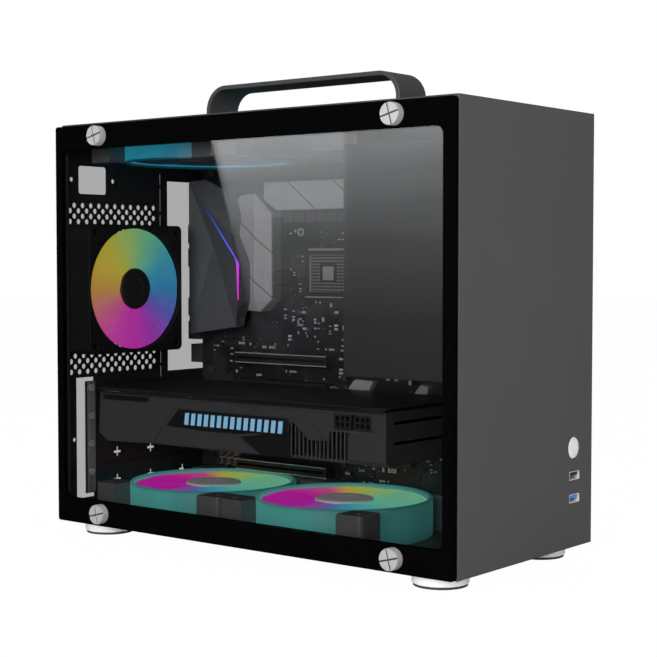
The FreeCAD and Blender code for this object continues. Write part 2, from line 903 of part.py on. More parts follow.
def usb_port(z):
    x0 = io_board_front_x()
    x1 = body_length - usb_recess
    y0 = usb_centre_y - usb_width / 2
    y1 = usb_centre_y + usb_width / 2
    z0 = z - usb_height / 2
    z1 = z + usb_height / 2
    back = x0 + usb_wall * 4
    shell = box(x0, x1, y0, y1, z0, z1).cut(box(back, x1, y0 + usb_wall, y1 - usb_wall,
                                                z0 + usb_wall, z1 - usb_wall))
    tongue = box(back, x1 - usb_wall * 2, y0 + usb_wall + usb_tongue_side, y1 - usb_wall - usb_tongue_side,
                 z1 - usb_wall - usb_tongue_side - usb_tongue_height, z1 - usb_wall - usb_tongue_side)
    return fuse_all([shell, tongue])


# Cooling fans, drawn about +Z with the motor base at z = 0

def fan_frame(size, depth, wall, corner, hub_radius):
    half = size / 2
    bore = half - wall
    outline = ring_points(around(half, round_sides), round_sides, math.pi / round_sides)
    body = prism(outline, "XY", 0, depth)
    corners = []
    for i in (-1, 1):
        for j in (-1, 1):
            points = [(half - corner, half - corner), (half, half - corner), (half, half - fan_corner_chamfer),
                      (half - fan_corner_chamfer, half), (half - corner, half)]
            corners.append(prism([(i * a, j * b) for a, b in points], "XY", 0, depth))
    body = body.fuse(corners).cut(prism(round_hole(0, 0, bore), "XY", 0, depth))
    base = polygon_rod(hub_radius, small_sides, V(0, 0, 0), V(0, 0, 1), fan_base_height)
    arms = []
    for i in range(4):
        arm = box(0, bore + wall, -fan_arm_width / 2, fan_arm_width / 2, 0, fan_base_height)
        arm.rotate(V(0, 0, 0), V(0, 0, 1), 45 + 90 * i)
        arms.append(arm)
    body = body.fuse([base] + arms)
    holes = [prism(round_hole(0, 0, shaft_radius + running_gap, small_sides), "XY", 0, fan_base_height)]
    for x, y in fan_screw_spots(0, 0, size):
        holes.append(prism(screw_hole(x, y, fan_screw_radius + loose_gap / 2), "XY", 0, fan_screw_grip))
    return cut_all(body, holes).removeSplitter()


def on_circle(radius, angle, z):
    return V(radius * math.cos(angle), radius * math.sin(angle), z)


def blade_section(radius, half_angle, pitch_angle, camber, middle_z, sweep):
    # Front edge, upper middle, rear edge and lower middle of the blade at this radius.
    rise = radius * half_angle * math.tan(math.radians(pitch_angle))
    crown = middle_z + camber
    return [on_circle(radius, sweep - half_angle, middle_z - rise),
            on_circle(radius, sweep, crown + blade_thickness / 2),
            on_circle(radius, sweep + half_angle, middle_z + rise),
            on_circle(radius, sweep, crown - blade_thickness / 2)]


def blade(root, tip):
    # The upper and lower faces are split along the same diagonals, so the thin section never crosses itself.
    loops = []
    for k in range(4):
        a, b, c, d = root[k - 1], root[k], tip[k], tip[k - 1]
        if k in (1, 2):
            loops += [[a, b, c], [a, c, d]]
        else:
            loops += [[a, b, d], [b, c, d]]
    loops += [[root[3], root[1], root[0]], [root[3], root[2], root[1]]]
    loops += [[tip[0], tip[1], tip[3]], [tip[1], tip[2], tip[3]]]
    return polyhedron(loops)


def fan_rotor(tip_radius, hub_radius, low_z, high_z, shaft_low_z, count):
    hub = turned([(hub_radius, low_z), (hub_radius, high_z - hub_chamfer), (hub_radius - hub_chamfer, high_z)],
                 count * 2)
    shaft = polygon_rod(shaft_radius, small_sides, V(0, 0, shaft_low_z), V(0, 0, 1), low_z - shaft_low_z)
    middle = (low_z + high_z) / 2
    share = math.pi / count
    root = blade_section(hub_radius * blade_root_share, share * blade_root_width, blade_root_pitch,
                         blade_camber / 2, middle, 0.0)
    tip = blade_section(tip_radius, share * blade_tip_width, blade_tip_pitch, blade_camber, middle,
                        math.radians(blade_sweep))
    first = blade(root, tip)
    blades = []
    for i in range(count):
        copy = first.copy()
        copy.rotate(V(0, 0, 0), V(0, 0, 1), 360.0 * i / count)
        blades.append(copy)
    return hub.fuse([shaft] + blades).removeSplitter()


def put(shape, centre, axis):
    shape.Placement = FreeCAD.Placement(centre, FreeCAD.Rotation(V(0, 0, 1), axis))
    return shape


def standard_frame():
    return fan_frame(fan_size, fan_depth, fan_wall, fan_corner, fan_hub_radius)


def standard_rotor():
    return framed_rotor(fan_size / 2 - fan_wall - fan_tip_gap, fan_hub_radius, blade_count)


def framed_rotor(tip_radius, hub_radius, count):
    return fan_rotor(tip_radius, hub_radius, fan_base_height + loose_gap * 2, fan_depth - rotor_face_gap,
                     shaft_end_gap, count)


def rear_frame():
    return fan_frame(rear_fan_size, fan_depth, rear_fan_wall, rear_fan_corner, rear_fan_hub_radius)


def rear_rotor():
    return framed_rotor(rear_fan_size / 2 - rear_fan_wall - fan_tip_gap, rear_fan_hub_radius, small_blade_count)


def fan_screws():
    spots = [(V(0, a, b), V(1, 0, 0)) for a, b in fan_screw_spots(rear_fan_y, rear_fan_z, rear_fan_size)]
    for x in bottom_fan_centres:
        spots += [(V(a, b, 0), V(0, 0, 1)) for a, b in fan_screw_spots(x, fan_centre_y, fan_size)]
    for x in top_fan_centres:
        spots += [(V(a, b, body_height), V(0, 0, -1)) for a, b in fan_screw_spots(x, fan_centre_y, fan_size)]
    return group([screw(point, way, fan_screw_grip, fan_head_radius, fan_screw_radius) for point, way in spots])


# Power supply

def psu_fan_centre():
    return V(psu_rear_x, psu_near_y + psu_width / 2, psu_low_z + psu_depth / 2)


def psu_housing():
    x0 = psu_rear_x
    x1 = x0 + psu_height
    y0 = psu_near_y
    y1 = y0 + psu_width
    case = box(x0, x1, y0, y1, psu_low_z, psu_top_z)
    centre = psu_fan_centre()
    tools = [prism(round_hole(centre.y, centre.z, psu_fan_radius), "YZ", x0 + psu_wall, psu_fan_well)]
    pitch = psu_slot_width + psu_slot_rib
    count = int(psu_fan_radius / pitch)
    for i in range(-count, count + 1):
        offset = i * pitch
        reach = math.sqrt(max(psu_fan_radius ** 2 - (abs(offset) + psu_slot_width / 2) ** 2, 0.0)) - psu_slot_end
        if reach <= vent_middle_rib:
            continue
        for side in (-1, 1):
            low, high = sorted((side * vent_middle_rib / 2, side * reach))
            tools.append(box(x0, x0 + psu_wall, centre.y + low, centre.y + high,
                             centre.z + offset - psu_slot_width / 2, centre.z + offset + psu_slot_width / 2))
    tools.append(box(x0 + psu_inlet_from_fan, x0 + psu_inlet_from_fan + inlet_height,
                     y1 - psu_inlet_from_far - inlet_width, y1 - psu_inlet_from_far,
                     psu_top_z - psu_inlet_depth, psu_top_z))
    body = cut_all(case, tools)
    motor_start = x0 + psu_wall + psu_fan_well - fan_base_height
    motor = polygon_rod(psu_hub_radius, small_sides, V(motor_start, centre.y, centre.z), V(1, 0, 0),
                        fan_base_height)
    shaft_hole = prism(round_hole(centre.y, centre.z, shaft_radius + running_gap, small_sides), "YZ",
                       motor_start, fan_base_height)
    return body.fuse(motor).cut(shaft_hole).removeSplitter()


def psu_fan_rotor():
    # The rotor's own +Z points out of the well, towards the rear of the case.
    rotor = fan_rotor(psu_fan_radius - fan_tip_gap, psu_hub_radius, fan_base_height + loose_gap * 2,
                      psu_fan_well - rotor_face_gap, shaft_end_gap, blade_count)
    centre = psu_fan_centre()
    return put(rotor, V(psu_rear_x + psu_wall + psu_fan_well, centre.y, centre.z), V(-1, 0, 0))


def psu_bracket():
    window = rectangle(psu_rear_x + psu_bracket_window, inner_front - psu_bracket_window * 2,
                       psu_near_y + psu_bracket_window, psu_near_y + psu_width - psu_bracket_window)
    sheet = prism(rectangle(psu_rear_x, inner_front, psu_near_y, psu_near_y + psu_width), "XY", psu_top_z,
                  psu_bracket_sheet, [window])
    fold = box(inner_front - psu_bracket_sheet, inner_front, psu_near_y, psu_near_y + psu_width,
               psu_top_z + psu_bracket_sheet, psu_top_z + psu_bracket_fold)
    return fuse_all([sheet, fold])


# Graphics card

def card_face_outline():
    start = [(card_rear_x + card_face_start, card_under_z), (card_front_x, card_under_z),
             (card_front_x, card_low_z + card_front_lip)]
    end = [(card_rear_x + a, card_low_z + b) for a, b in card_lower_steps]
    return start + on_card(card_face_steps) + end


def on_card(points):
    return [(card_rear_x + a, card_board_z - b) for a, b in points]


def light_panel_outline(share=1.0):
    points = on_card(light_shape)
    a = sum(p[0] for p in points) / len(points)
    b = sum(p[1] for p in points) / len(points)
    return [(a + (p - a) * share, b + (q - b) * share) for p, q in points]


def card_fan_centres():
    y = (card_near_y + card_wall + card_far_y) / 2
    return {"gpu_fan_rear": (card_fan_rear_x, y), "gpu_fan_front": (card_fan_front_x, y)}


def card_motor_low_z():
    return card_low_z + card_floor + card_collar_height - motor_base_height


def gpu_shroud():
    near = card_near_y
    inside = near + card_wall
    face = prism(card_face_outline(), "XZ", near, card_wall)
    start, length, drop, height = link_window
    socket_low = card_board_z - card_board_thickness / 2 - fin_base - socket_size[2] - loose_gap
    tools = [prism(light_panel_outline(), "XZ", near, light_depth),
             box(card_rear_x + start, card_rear_x + start + length, near, inside,
                 card_board_z - drop - height, card_board_z - drop),
             box(power_socket_x(0) - loose_gap, power_socket_x(1) + socket_size[0] + loose_gap, near, inside,
                 socket_low, card_under_z - fin_base)]
    face = cut_all(face, tools)
    rear = card_rear_x + floor_start
    parts = [face, box(rear, card_front_x, inside, card_far_y, card_low_z, card_low_z + card_floor),
             box(rear, card_front_x, card_far_y - card_floor, card_far_y, card_low_z, card_under_z)]
    end_wall = box(card_front_x - card_floor, card_front_x, inside, card_far_y, card_low_z, card_under_z)
    end_slots = [box(card_front_x - card_floor, card_front_x, inside + card_floor * 3, card_far_y - card_floor * 4,
                     card_board_z - drop, card_board_z - drop + end_slot_height) for drop in end_slot_drops]
    parts.append(cut_all(end_wall, end_slots))
    collar_top = card_low_z + card_floor + card_collar_height
    for x, y in card_fan_centres().values():
        collar = shifted(ring_points(around(card_fan_radius + card_collar_wall, round_sides), round_sides,
                                     math.pi / round_sides), x, y)
        parts.append(prism(collar, "XY", card_low_z, collar_top - card_low_z))
    body = cut_all(fuse_all(parts), [prism(round_hole(x, y, card_fan_radius), "XY", card_low_z,
                                           collar_top - card_low_z) for x, y in card_fan_centres().values()])
    base_low = card_motor_low_z()
    bases = []
    for x, y in card_fan_centres().values():
        bases.append(polygon_rod(card_fan_hub, small_sides, V(x, y, base_low), V(0, 0, 1), motor_base_height))
        for i in range(3):
            arm = box(0, card_fan_radius + card_collar_wall, -fan_arm_width / 2, fan_arm_width / 2,
                      base_low, collar_top)
            arm.rotate(V(0, 0, 0), V(0, 0, 1), 30 + 120 * i)
            arm.translate(V(x, y, 0))
            bases.append(arm)
    shaft_holes = [prism(round_hole(x, y, shaft_radius + running_gap, small_sides), "XY", base_low,
                         motor_base_height) for x, y in card_fan_centres().values()]
    return cut_all(body.fuse(bases), shaft_holes).removeSplitter()


def gpu_fan(x, y):
    # The hub cap faces down, and the shaft runs up into the motor base.
    base_low = card_motor_low_z()
    rotor = fan_rotor(card_fan_radius - fan_tip_gap, card_fan_hub, loose_gap * 2,
                      base_low - card_low_z - fan_cap_gap, -motor_base_height + shaft_end_gap, small_blade_count)
    return put(rotor, V(x, y, base_low), V(0, 0, -1))


def gpu_board():
    y0 = card_near_y + card_wall + card_near_gap
    finger_end = card_finger_rear + card_finger_length
    outline = [(card_rear_x, y0), (card_front_x - card_edge_gap, y0), (card_front_x - card_edge_gap, card_far_y),
               (finger_end, card_far_y), (finger_end, card_far_y + card_finger_depth),
               (card_finger_rear, card_far_y + card_finger_depth), (card_finger_rear, card_far_y),
               (card_rear_x, card_far_y)]
    return prism(outline, "XY", card_under_z, card_board_thickness)


def gpu_backplate():
    return box(card_rear_x + plate_rear_gap, card_front_x, card_near_y, card_far_y - plate_far_gap,
               card_top_z, card_top_z + backplate_sheet)


def gpu_heatsink():
    # A comb: one base under the card's board and fins that hang from it, longer where the shroud is open.
    base_low = card_under_z - fin_base
    short_low = card_low_z + card_floor + card_collar_height + fin_gap
    front = card_front_x - card_floor - fin_gap
    x = card_rear_x + fin_first
    points = [(x, card_under_z), (x, short_low)]
    while x + fin_thickness + fin_pitch < front:
        long_fin = fin_long_from <= x - card_rear_x <= fin_long_to
        low = card_board_z - fin_long_drop if long_fin else short_low
        points[-1] = (x, low)
        points += [(x + fin_thickness, low), (x + fin_thickness, base_low)]
        x += fin_pitch
        points += [(x, base_low), (x, short_low)]
    points += [(x + fin_thickness, short_low), (x + fin_thickness, card_under_z)]
    near = card_near_y + card_wall + fin_gap
    far = card_far_y - card_floor - fin_gap
    comb = prism(points, "XZ", near, far - near)
    socket_room = box(power_socket_x(0) - fin_gap, power_socket_x(1) + socket_size[0] + fin_gap, near,
                      card_near_y + socket_size[1] + fin_gap, base_low - socket_size[2] - fin_gap, base_low)
    return comb.cut(socket_room)


def power_socket_x(index):
    return card_rear_x + socket_first + index * socket_pitch


def gpu_power_sockets():
    length, depth, height = socket_size
    high = card_under_z - fin_base
    low = high - height
    near = card_near_y + card_near_gap
    side = (length - pin_size - 2 * pin_pitch) / 2
    bodies = []
    for index in range(2):
        x0 = power_socket_x(index)
        body = box(x0, x0 + length, near, card_near_y + depth, low, high)
        pins = []
        for i in range(3):
            for j in range(2):
                px = x0 + side + i * pin_pitch
                pz = low + side + j * pin_pitch
                pins.append(box(px, px + pin_size, near, near + pin_depth, pz, pz + pin_size))
        bodies.append(cut_all(body, pins))
    return group(bodies)


def gpu_light_panel():
    return prism(light_panel_outline(light_share), "XZ", card_near_y + light_depth - light_sheet, light_sheet)


def bracket_outline(z_low, z_high):
    return rectangle(rail_near_y + card_near_gap, cover_far_y, z_low, z_high)


def gpu_bracket():
    low = slot_heights[1] - cover_height / 2
    high = slot_heights[0] + cover_height / 2
    holes = []
    for z in slot_heights[:2]:
        holes.append(screw_hole(rail_near_y + rail_width / 2, z + rail_screw_offset,
                                screw_shank_radius + loose_gap / 2))
        for i in range(bracket_window_count):
            y = bracket_window_near_y + i * bracket_window_pitch
            holes.append(rectangle(y, y + bracket_window_length, z - bracket_window_height / 2,
                                   z + bracket_window_height / 2))
    return prism(bracket_outline(low, high), "YZ", inner_rear, cover_sheet, holes)


def cross(y, z):
    a = cross_length / 2
    b = cross_width / 2
    shape = [(a, b), (b, b), (b, a), (-b, a), (-b, b), (-a, b), (-a, -b), (-b, -b), (-b, -a), (b, -a), (b, -b),
             (a, -b)]
    return shifted(shape, y, z)


def slot_covers():
    covers = []
    for z in slot_heights[2:]:
        low = z - cover_height / 2
        high = z + cover_height / 2
        holes = [cross(cross_first_y + i * cross_pitch, z - cross_drop) for i in range(cross_count)]
        holes.append(screw_hole(rail_near_y + rail_width / 2, z + rail_screw_offset,
                                screw_shank_radius + loose_gap / 2))
        covers.append(prism(bracket_outline(low, high), "YZ", inner_rear, cover_sheet, holes))
    return group(covers)


def slot_screws():
    head_x = inner_rear + cover_sheet
    return group([screw(V(head_x, rail_near_y + rail_width / 2, z + rail_screw_offset), V(-1, 0, 0),
                        cover_sheet + shell_sheet) for z in slot_heights])


# Motherboard and what it carries

def board_holes():
    return [(board_rear_x + a, board_low_z + b) for a in board_hole_columns for b in board_hole_rows]


def cooler_holes():
    x = socket_rear_x + socket_length / 2
    z = socket_low_z + socket_height / 2
    return [(x + i * cooler_spacing_x / 2, z + j * cooler_spacing_z / 2) for i in (-1, 1) for j in (-1, 1)]


def motherboard():
    holes = [screw_hole(x, z, screw_shank_radius + loose_gap / 2) for x, z in board_holes()]
    holes += [round_hole(x, z, cooler_hole_radius, screw_sides) for x, z in cooler_holes()]
    return prism(rectangle(board_rear_x, board_rear_x + board_side, board_low_z, board_top_z), "XZ",
                 board_near_y, board_thickness, holes)


def board_standoffs():
    start = board_near_y + board_thickness
    bodies = []
    for x, z in board_holes():
        post = polygon_rod(standoff_radius, screw_sides, V(x, start, z), V(0, 1, 0), standoff_height)
        fixing = screw(V(x, board_near_y, z), V(0, 1, 0), board_thickness, standoff_radius)
        bodies.append(post.fuse(fixing).removeSplitter())
    return group(bodies)


def on_board(points):
    return [(board_rear_x + a, board_low_z + b) for a, b in points]


def io_cover():
    outline = on_board(cover_shape)
    body = prism(outline, "XZ", cover_near_y, board_near_y - cover_near_y)
    start, end = (board_rear_x + a for a in cover_flat)
    front = board_rear_x + max(a for a, b in cover_shape) + 1
    roof = [(board_rear_x, board_near_y), (board_rear_x, cover_near_y + cover_rear_drop), (start, cover_near_y),
            (end, cover_near_y), (front, cover_near_y + cover_front_drop), (front, board_near_y)]
    body = body.common(prism(roof, "XY", board_low_z, board_side))
    inner = wire_of(outline, "XZ", cover_near_y + cover_wall * 3).makeOffset2D(-cover_wall, 2)
    hollow = Part.Face(inner).extrude(V(0, board_near_y - cover_near_y - cover_wall * 3, 0))
    return body.cut(hollow)


def vrm_heatsink_left():
    near = sink_near_y
    body = prism(on_board(left_sink_shape), "XZ", near, board_near_y - near)
    rear = board_rear_x + min(a for a, b in left_sink_shape) - 1
    front = board_rear_x + max(a for a, b in left_sink_shape) + 1
    roof = [(rear, board_near_y), (rear, near + left_sink_drop), (board_rear_x + left_sink_ridge, near),
            (front, near + left_sink_drop), (front, board_near_y)]
    return body.common(prism(roof, "XY", board_low_z, board_side))


def vrm_heatsink_top():
    near = sink_near_y
    body = prism(on_board(top_sink_shape), "XZ", near, board_near_y - near)
    low = board_low_z + min(b for a, b in top_sink_shape) - 1
    high = board_low_z + max(b for a, b in top_sink_shape) + 1
    roof = [(board_near_y, low), (near + top_sink_drop, low), (near, board_low_z + top_sink_ridge),
            (near + top_sink_drop, high), (board_near_y, high)]
    return body.common(prism(roof, "YZ", board_rear_x, board_side))


def cpu_socket():
    x0 = socket_rear_x
    x1 = x0 + socket_length
    z0 = socket_low_z
    z1 = z0 + socket_height
    y0 = board_near_y - socket_rise
    side, end = socket_middle
    body = box(x0, x1, y0, board_near_y, z0, z1)
    pocket = box(x0 + socket_wall, x1 - socket_wall, y0, y0 + socket_pocket, z0 + socket_wall, z1 - socket_wall)
    middle = box(x0 + side, x1 - side, y0, board_near_y - socket_middle_floor, z0 + end, z1 - end)
    lever_low = z0 - 2 * lever_radius
    lever = polygon_rod(lever_radius, screw_sides, V(x0 - lever_reach, y0 + lever_reach, z0 - lever_radius),
                        V(1, 0, 0), socket_length + lever_reach * 2)
    hook = box(x0 - lever_reach, x0 + 1, y0 + 1, board_near_y, lever_low, z0 + lever_reach)
    return fuse_all([cut_all(body, [pocket, middle]), lever, hook])


def card_slot(z):
    x0 = slot_rear_x
    x1 = x0 + slot_length
    y0 = board_near_y - slot_rise
    half = card_board_thickness / 2 + loose_gap / 2
    body = box(x0, x1, y0, board_near_y, z - slot_body / 2, z + slot_body / 2)
    return body.cut(box(x0 + groove_end, x1 - groove_end, y0, board_near_y - groove_floor, z - half, z + half))


def pcie_slots():
    heights = [card_board_z + slot_pitch, card_board_z, card_board_z - 3 * slot_pitch]
    return group([card_slot(z) for z in heights])


def dimm_slots():
    bodies = []
    y0 = board_near_y - dimm_rise
    z0 = dimm_low_z
    z1 = z0 + dimm_length
    for i in range(dimm_count):
        x0 = dimm_first_x + i * dimm_pitch
        middle = x0 + dimm_body / 2
        body = box(x0, x0 + dimm_body, y0, board_near_y, z0, z1)
        groove = box(middle - dimm_groove / 2, middle + dimm_groove / 2, y0, board_near_y - groove_floor,
                     z0 + dimm_latch, z1 - dimm_latch)
        bodies.append(body.cut(groove))
    return group(bodies)


def io_ports():
    bodies = []
    x0 = board_rear_x - port_reach
    x1 = x0 + port_depth
    for low, height, rise in port_places:
        z0 = board_low_z + low
        z1 = z0 + height
        y0 = board_near_y - rise
        body = box(x0, x1, y0, board_near_y, z0, z1)
        mouth = box(x0, x0 + port_mouth, y0 + port_wall, board_near_y - port_wall, z0 + port_wall, z1 - port_wall)
        bodies.append(body.cut(mouth))
    return group(bodies)


def board_parts():
    bodies = []
    y0 = board_near_y - choke_rise
    for i in range(choke_column_count):
        z0 = choke_column_z + i * choke_pitch
        bodies.append(box(choke_column_x, choke_column_x + choke_side, y0, board_near_y, z0, z0 + choke_length))
    for i in range(choke_row_count):
        x0 = choke_row_x + i * choke_pitch
        bodies.append(box(x0, x0 + choke_length, y0, board_near_y, choke_row_z, choke_row_z + choke_side))
    for i in range(2):
        for j in range(3):
            spot = V(cap_first_x + j * cap_pitch, board_near_y - cap_rise, cap_first_z + i * cap_pitch)
            bodies.append(polygon_rod(cap_radius, screw_sides, spot, V(0, 1, 0), cap_rise))
    bodies.append(box(chipset_x, chipset_x + chipset_side, board_near_y - chipset_rise, board_near_y,
                      chipset_z, chipset_z + chipset_side))
    return group(bodies)


# Every node of the case by name

def build_nodes():
    nodes = {
        "front_panel": front_panel(),
        "top_panel": top_panel(),
        "bottom_panel": bottom_panel(),
        "rear_panel": rear_panel(),
        "right_side_panel": right_side_panel(),
        "motherboard_tray": motherboard_tray(),
        "glass_panel": glass_panel(),
        "glass_gasket": glass_gasket(),
        "panel_nuts": panel_nuts(),
        "handle": handle(),
        "foot_pads": foot_pads(),
        "case_screws": case_screws(),
        "power_button": power_button(),
        "front_io_board": front_io_board(),
        "usb_port_upper": usb_port(usb_upper_z),
        "usb_port_lower": usb_port(usb_lower_z),
        "rear_fan_frame": put(rear_frame(), V(inner_rear, rear_fan_y, rear_fan_z), V(1, 0, 0)),
        "rear_fan_rotor": put(rear_rotor(), V(inner_rear, rear_fan_y, rear_fan_z), V(1, 0, 0)),
        "fan_screws": fan_screws(),
        "psu_housing": psu_housing(),
        "psu_fan_rotor": psu_fan_rotor(),
        "psu_bracket": psu_bracket(),
        "gpu_shroud": gpu_shroud(),
        "gpu_board": gpu_board(),
        "gpu_backplate": gpu_backplate(),
        "gpu_heatsink": gpu_heatsink(),
        "gpu_power_sockets": gpu_power_sockets(),
        "gpu_light_panel": gpu_light_panel(),
        "gpu_bracket": gpu_bracket(),
        "slot_covers": slot_covers(),
        "slot_screws": slot_screws(),
        "motherboard": motherboard(),
        "board_standoffs": board_standoffs(),
        "io_cover": io_cover(),
        "io_ports": io_ports(),
        "vrm_heatsink_left": vrm_heatsink_left(),
        "vrm_heatsink_top": vrm_heatsink_top(),
        "cpu_socket": cpu_socket(),
        "pcie_slots": pcie_slots(),
        "dimm_slots": dimm_slots(),
        "board_parts": board_parts(),
    }
    for name, (x, z) in thumb_places().items():
        nodes[name] = thumbscrew(x, z)
    for name, (x, y) in foot_places.items():
        nodes[name] = foot(x, y)
    for name, (x, y) in card_fan_centres().items():
        nodes[name] = gpu_fan(x, y)
    for place, x_bottom, x_top in zip(("rear", "front"), bottom_fan_centres, top_fan_centres):
        low = V(x_bottom, fan_centre_y, shell_sheet)
        high = V(x_top, fan_centre_y, inner_top)
        nodes["bottom_fan_frame_" + place] = put(standard_frame(), low, V(0, 0, 1))
        nodes["bottom_fan_rotor_" + place] = put(standard_rotor(), low, V(0, 0, 1))
        nodes["top_fan_frame_" + place] = put(standard_frame(), high, V(0, 0, -1))
        nodes["top_fan_rotor_" + place] = put(standard_rotor(), high, V(0, 0, -1))
    return nodes


def write_parts():
    os.makedirs("parts", exist_ok=True)
    middle_x = (body_length - glass_rear_lip) / 2
    middle_y = (body_width + screw_head_height - thumb_head_height) / 2
    to_origin = V(-middle_x, -middle_y, foot_height)
    for name, shape in build_nodes().items():
        moved = shape.copy()
        moved.translate(to_origin)
        moved.exportStep("parts/" + name + ".step")


write_parts()
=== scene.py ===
import json
import math
import random

import bmesh
import bpy
from mathutils import Matrix, Vector

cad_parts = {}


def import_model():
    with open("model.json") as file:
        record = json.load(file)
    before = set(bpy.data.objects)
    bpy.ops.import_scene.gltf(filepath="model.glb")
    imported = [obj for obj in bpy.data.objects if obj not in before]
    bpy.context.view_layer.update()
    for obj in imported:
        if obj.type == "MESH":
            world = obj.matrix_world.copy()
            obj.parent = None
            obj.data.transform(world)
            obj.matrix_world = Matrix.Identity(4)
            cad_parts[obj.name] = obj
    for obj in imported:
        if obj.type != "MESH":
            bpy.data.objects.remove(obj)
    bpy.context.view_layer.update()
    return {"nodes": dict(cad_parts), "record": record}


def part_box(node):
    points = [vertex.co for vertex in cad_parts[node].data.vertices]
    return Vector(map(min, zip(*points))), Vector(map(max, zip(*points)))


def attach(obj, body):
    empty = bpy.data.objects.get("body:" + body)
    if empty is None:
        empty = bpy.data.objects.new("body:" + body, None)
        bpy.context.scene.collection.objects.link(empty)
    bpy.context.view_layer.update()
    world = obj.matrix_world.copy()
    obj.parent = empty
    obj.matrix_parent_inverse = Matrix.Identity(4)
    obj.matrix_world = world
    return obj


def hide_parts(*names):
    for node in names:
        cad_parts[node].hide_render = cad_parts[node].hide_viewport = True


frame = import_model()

# Lengths below are in millimetres from the case's own corner: X from the rear face to the front face,
# Y from the outer face of the glass to the far side, and Z up from the underside of the body.
glass_low, glass_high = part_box("glass_panel")
front_low, front_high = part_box("front_panel")
BODY = (336.0, 162.5, 280.0)
ORIGIN = Vector((front_high.x - BODY[0] / 1000, glass_low.y, front_low.z))
SHARE = 0.001

# Places and sizes that several pieces share.
SHELL_NEAR, SHELL_FAR, SHEET = 5.0, 161.5, 1.0
BOARD_FACE = 146.0
CARD_FACE = 35.0
SLOT_HEIGHTS = [87.44 - i * 20.32 for i in range(4)]
SLOT_SCREW_Y, SLOT_SCREW_UP = 28.5, 5.4
REAR_FAN = (52.3, 164.4)
REAR_FAN_SIZE, FAN_SIZE, FAN_DEPTH = 92.0, 120.0, 25.0
FAN_HOLE_SHARE, FAN_HOLE = 0.4375, 2.05
BUTTON = (139.2, 64.4)
PORT_SPAN, PORT_HEIGHTS, PORT_BACK = (133.8, 146.6), (46.4, 31.6), 318.0
FRONT_SHEET = 1.5
FRONT_BACK = BODY[0] - FRONT_SHEET


def at(x, y, z):
    return ORIGIN + Vector((x, y, z)) * SHARE


# Finishes

# Every finish under its own name.
M = {}


def link(tree, source, target):
    tree.links.new(source, target)


def grey(value):
    return (value, value, value, 1.0)


def shade(colour, factor):
    return (min(colour[0] * factor, 1), min(colour[1] * factor, 1), min(colour[2] * factor, 1), 1.0)


def noise(tree, coords, scale, detail=4.0, stretch=None):
    node = tree.nodes.new("ShaderNodeTexNoise")
    node.inputs["Scale"].default_value = scale
    node.inputs["Detail"].default_value = detail
    if stretch:
        mapping = tree.nodes.new("ShaderNodeMapping")
        mapping.inputs["Scale"].default_value = stretch
        link(tree, coords, mapping.inputs["Vector"])
        coords = mapping.outputs["Vector"]
    link(tree, coords, node.inputs["Vector"])
    return node.outputs["Fac"]


def ramp(tree, factor, stops):
    node = tree.nodes.new("ShaderNodeValToRGB")
    elements = node.color_ramp.elements
    while len(elements) < len(stops):
        elements.new(0.5)
    for element, (place, colour) in zip(elements, stops):
        element.position = place
        element.color = colour
    link(tree, factor, node.inputs["Fac"])
    return node.outputs["Color"]


def remap(tree, value, low, high):
    node = tree.nodes.new("ShaderNodeMapRange")
    node.inputs["To Min"].default_value = low
    node.inputs["To Max"].default_value = high
    link(tree, value, node.inputs["Value"])
    return node.outputs["Result"]


def math_node(tree, kind, first, second=None):
    node = tree.nodes.new("ShaderNodeMath")
    node.operation = kind
    for socket, value in zip(node.inputs, (first, second)):
        if value is None:
            continue
        if isinstance(value, (int, float)):
            socket.default_value = value
        else:
            link(tree, value, socket)
    return node.outputs["Value"]


def axes(tree, vector):
    split = tree.nodes.new("ShaderNodeSeparateXYZ")
    link(tree, vector, split.inputs["Vector"])
    return split.outputs


def blend(tree, factor, first, second):
    node = tree.nodes.new("ShaderNodeMix")
    node.data_type = "RGBA"
    link(tree, factor, node.inputs["Factor"])
    for socket, colour in ((node.inputs[6], first), (node.inputs[7], second)):
        if isinstance(colour, tuple):
            socket.default_value = colour
        else:
            link(tree, colour, socket)
    return node.outputs[2]


def start_material(name):
    M[name] = bpy.data.materials.new(name)
    M[name].use_nodes = True
    tree = M[name].node_tree
    coords = tree.nodes.new("ShaderNodeTexCoord").outputs["Object"]
    return tree, tree.nodes["Principled BSDF"], coords


def show(tree, output):
    link(tree, output, tree.nodes["Material Output"].inputs["Surface"])


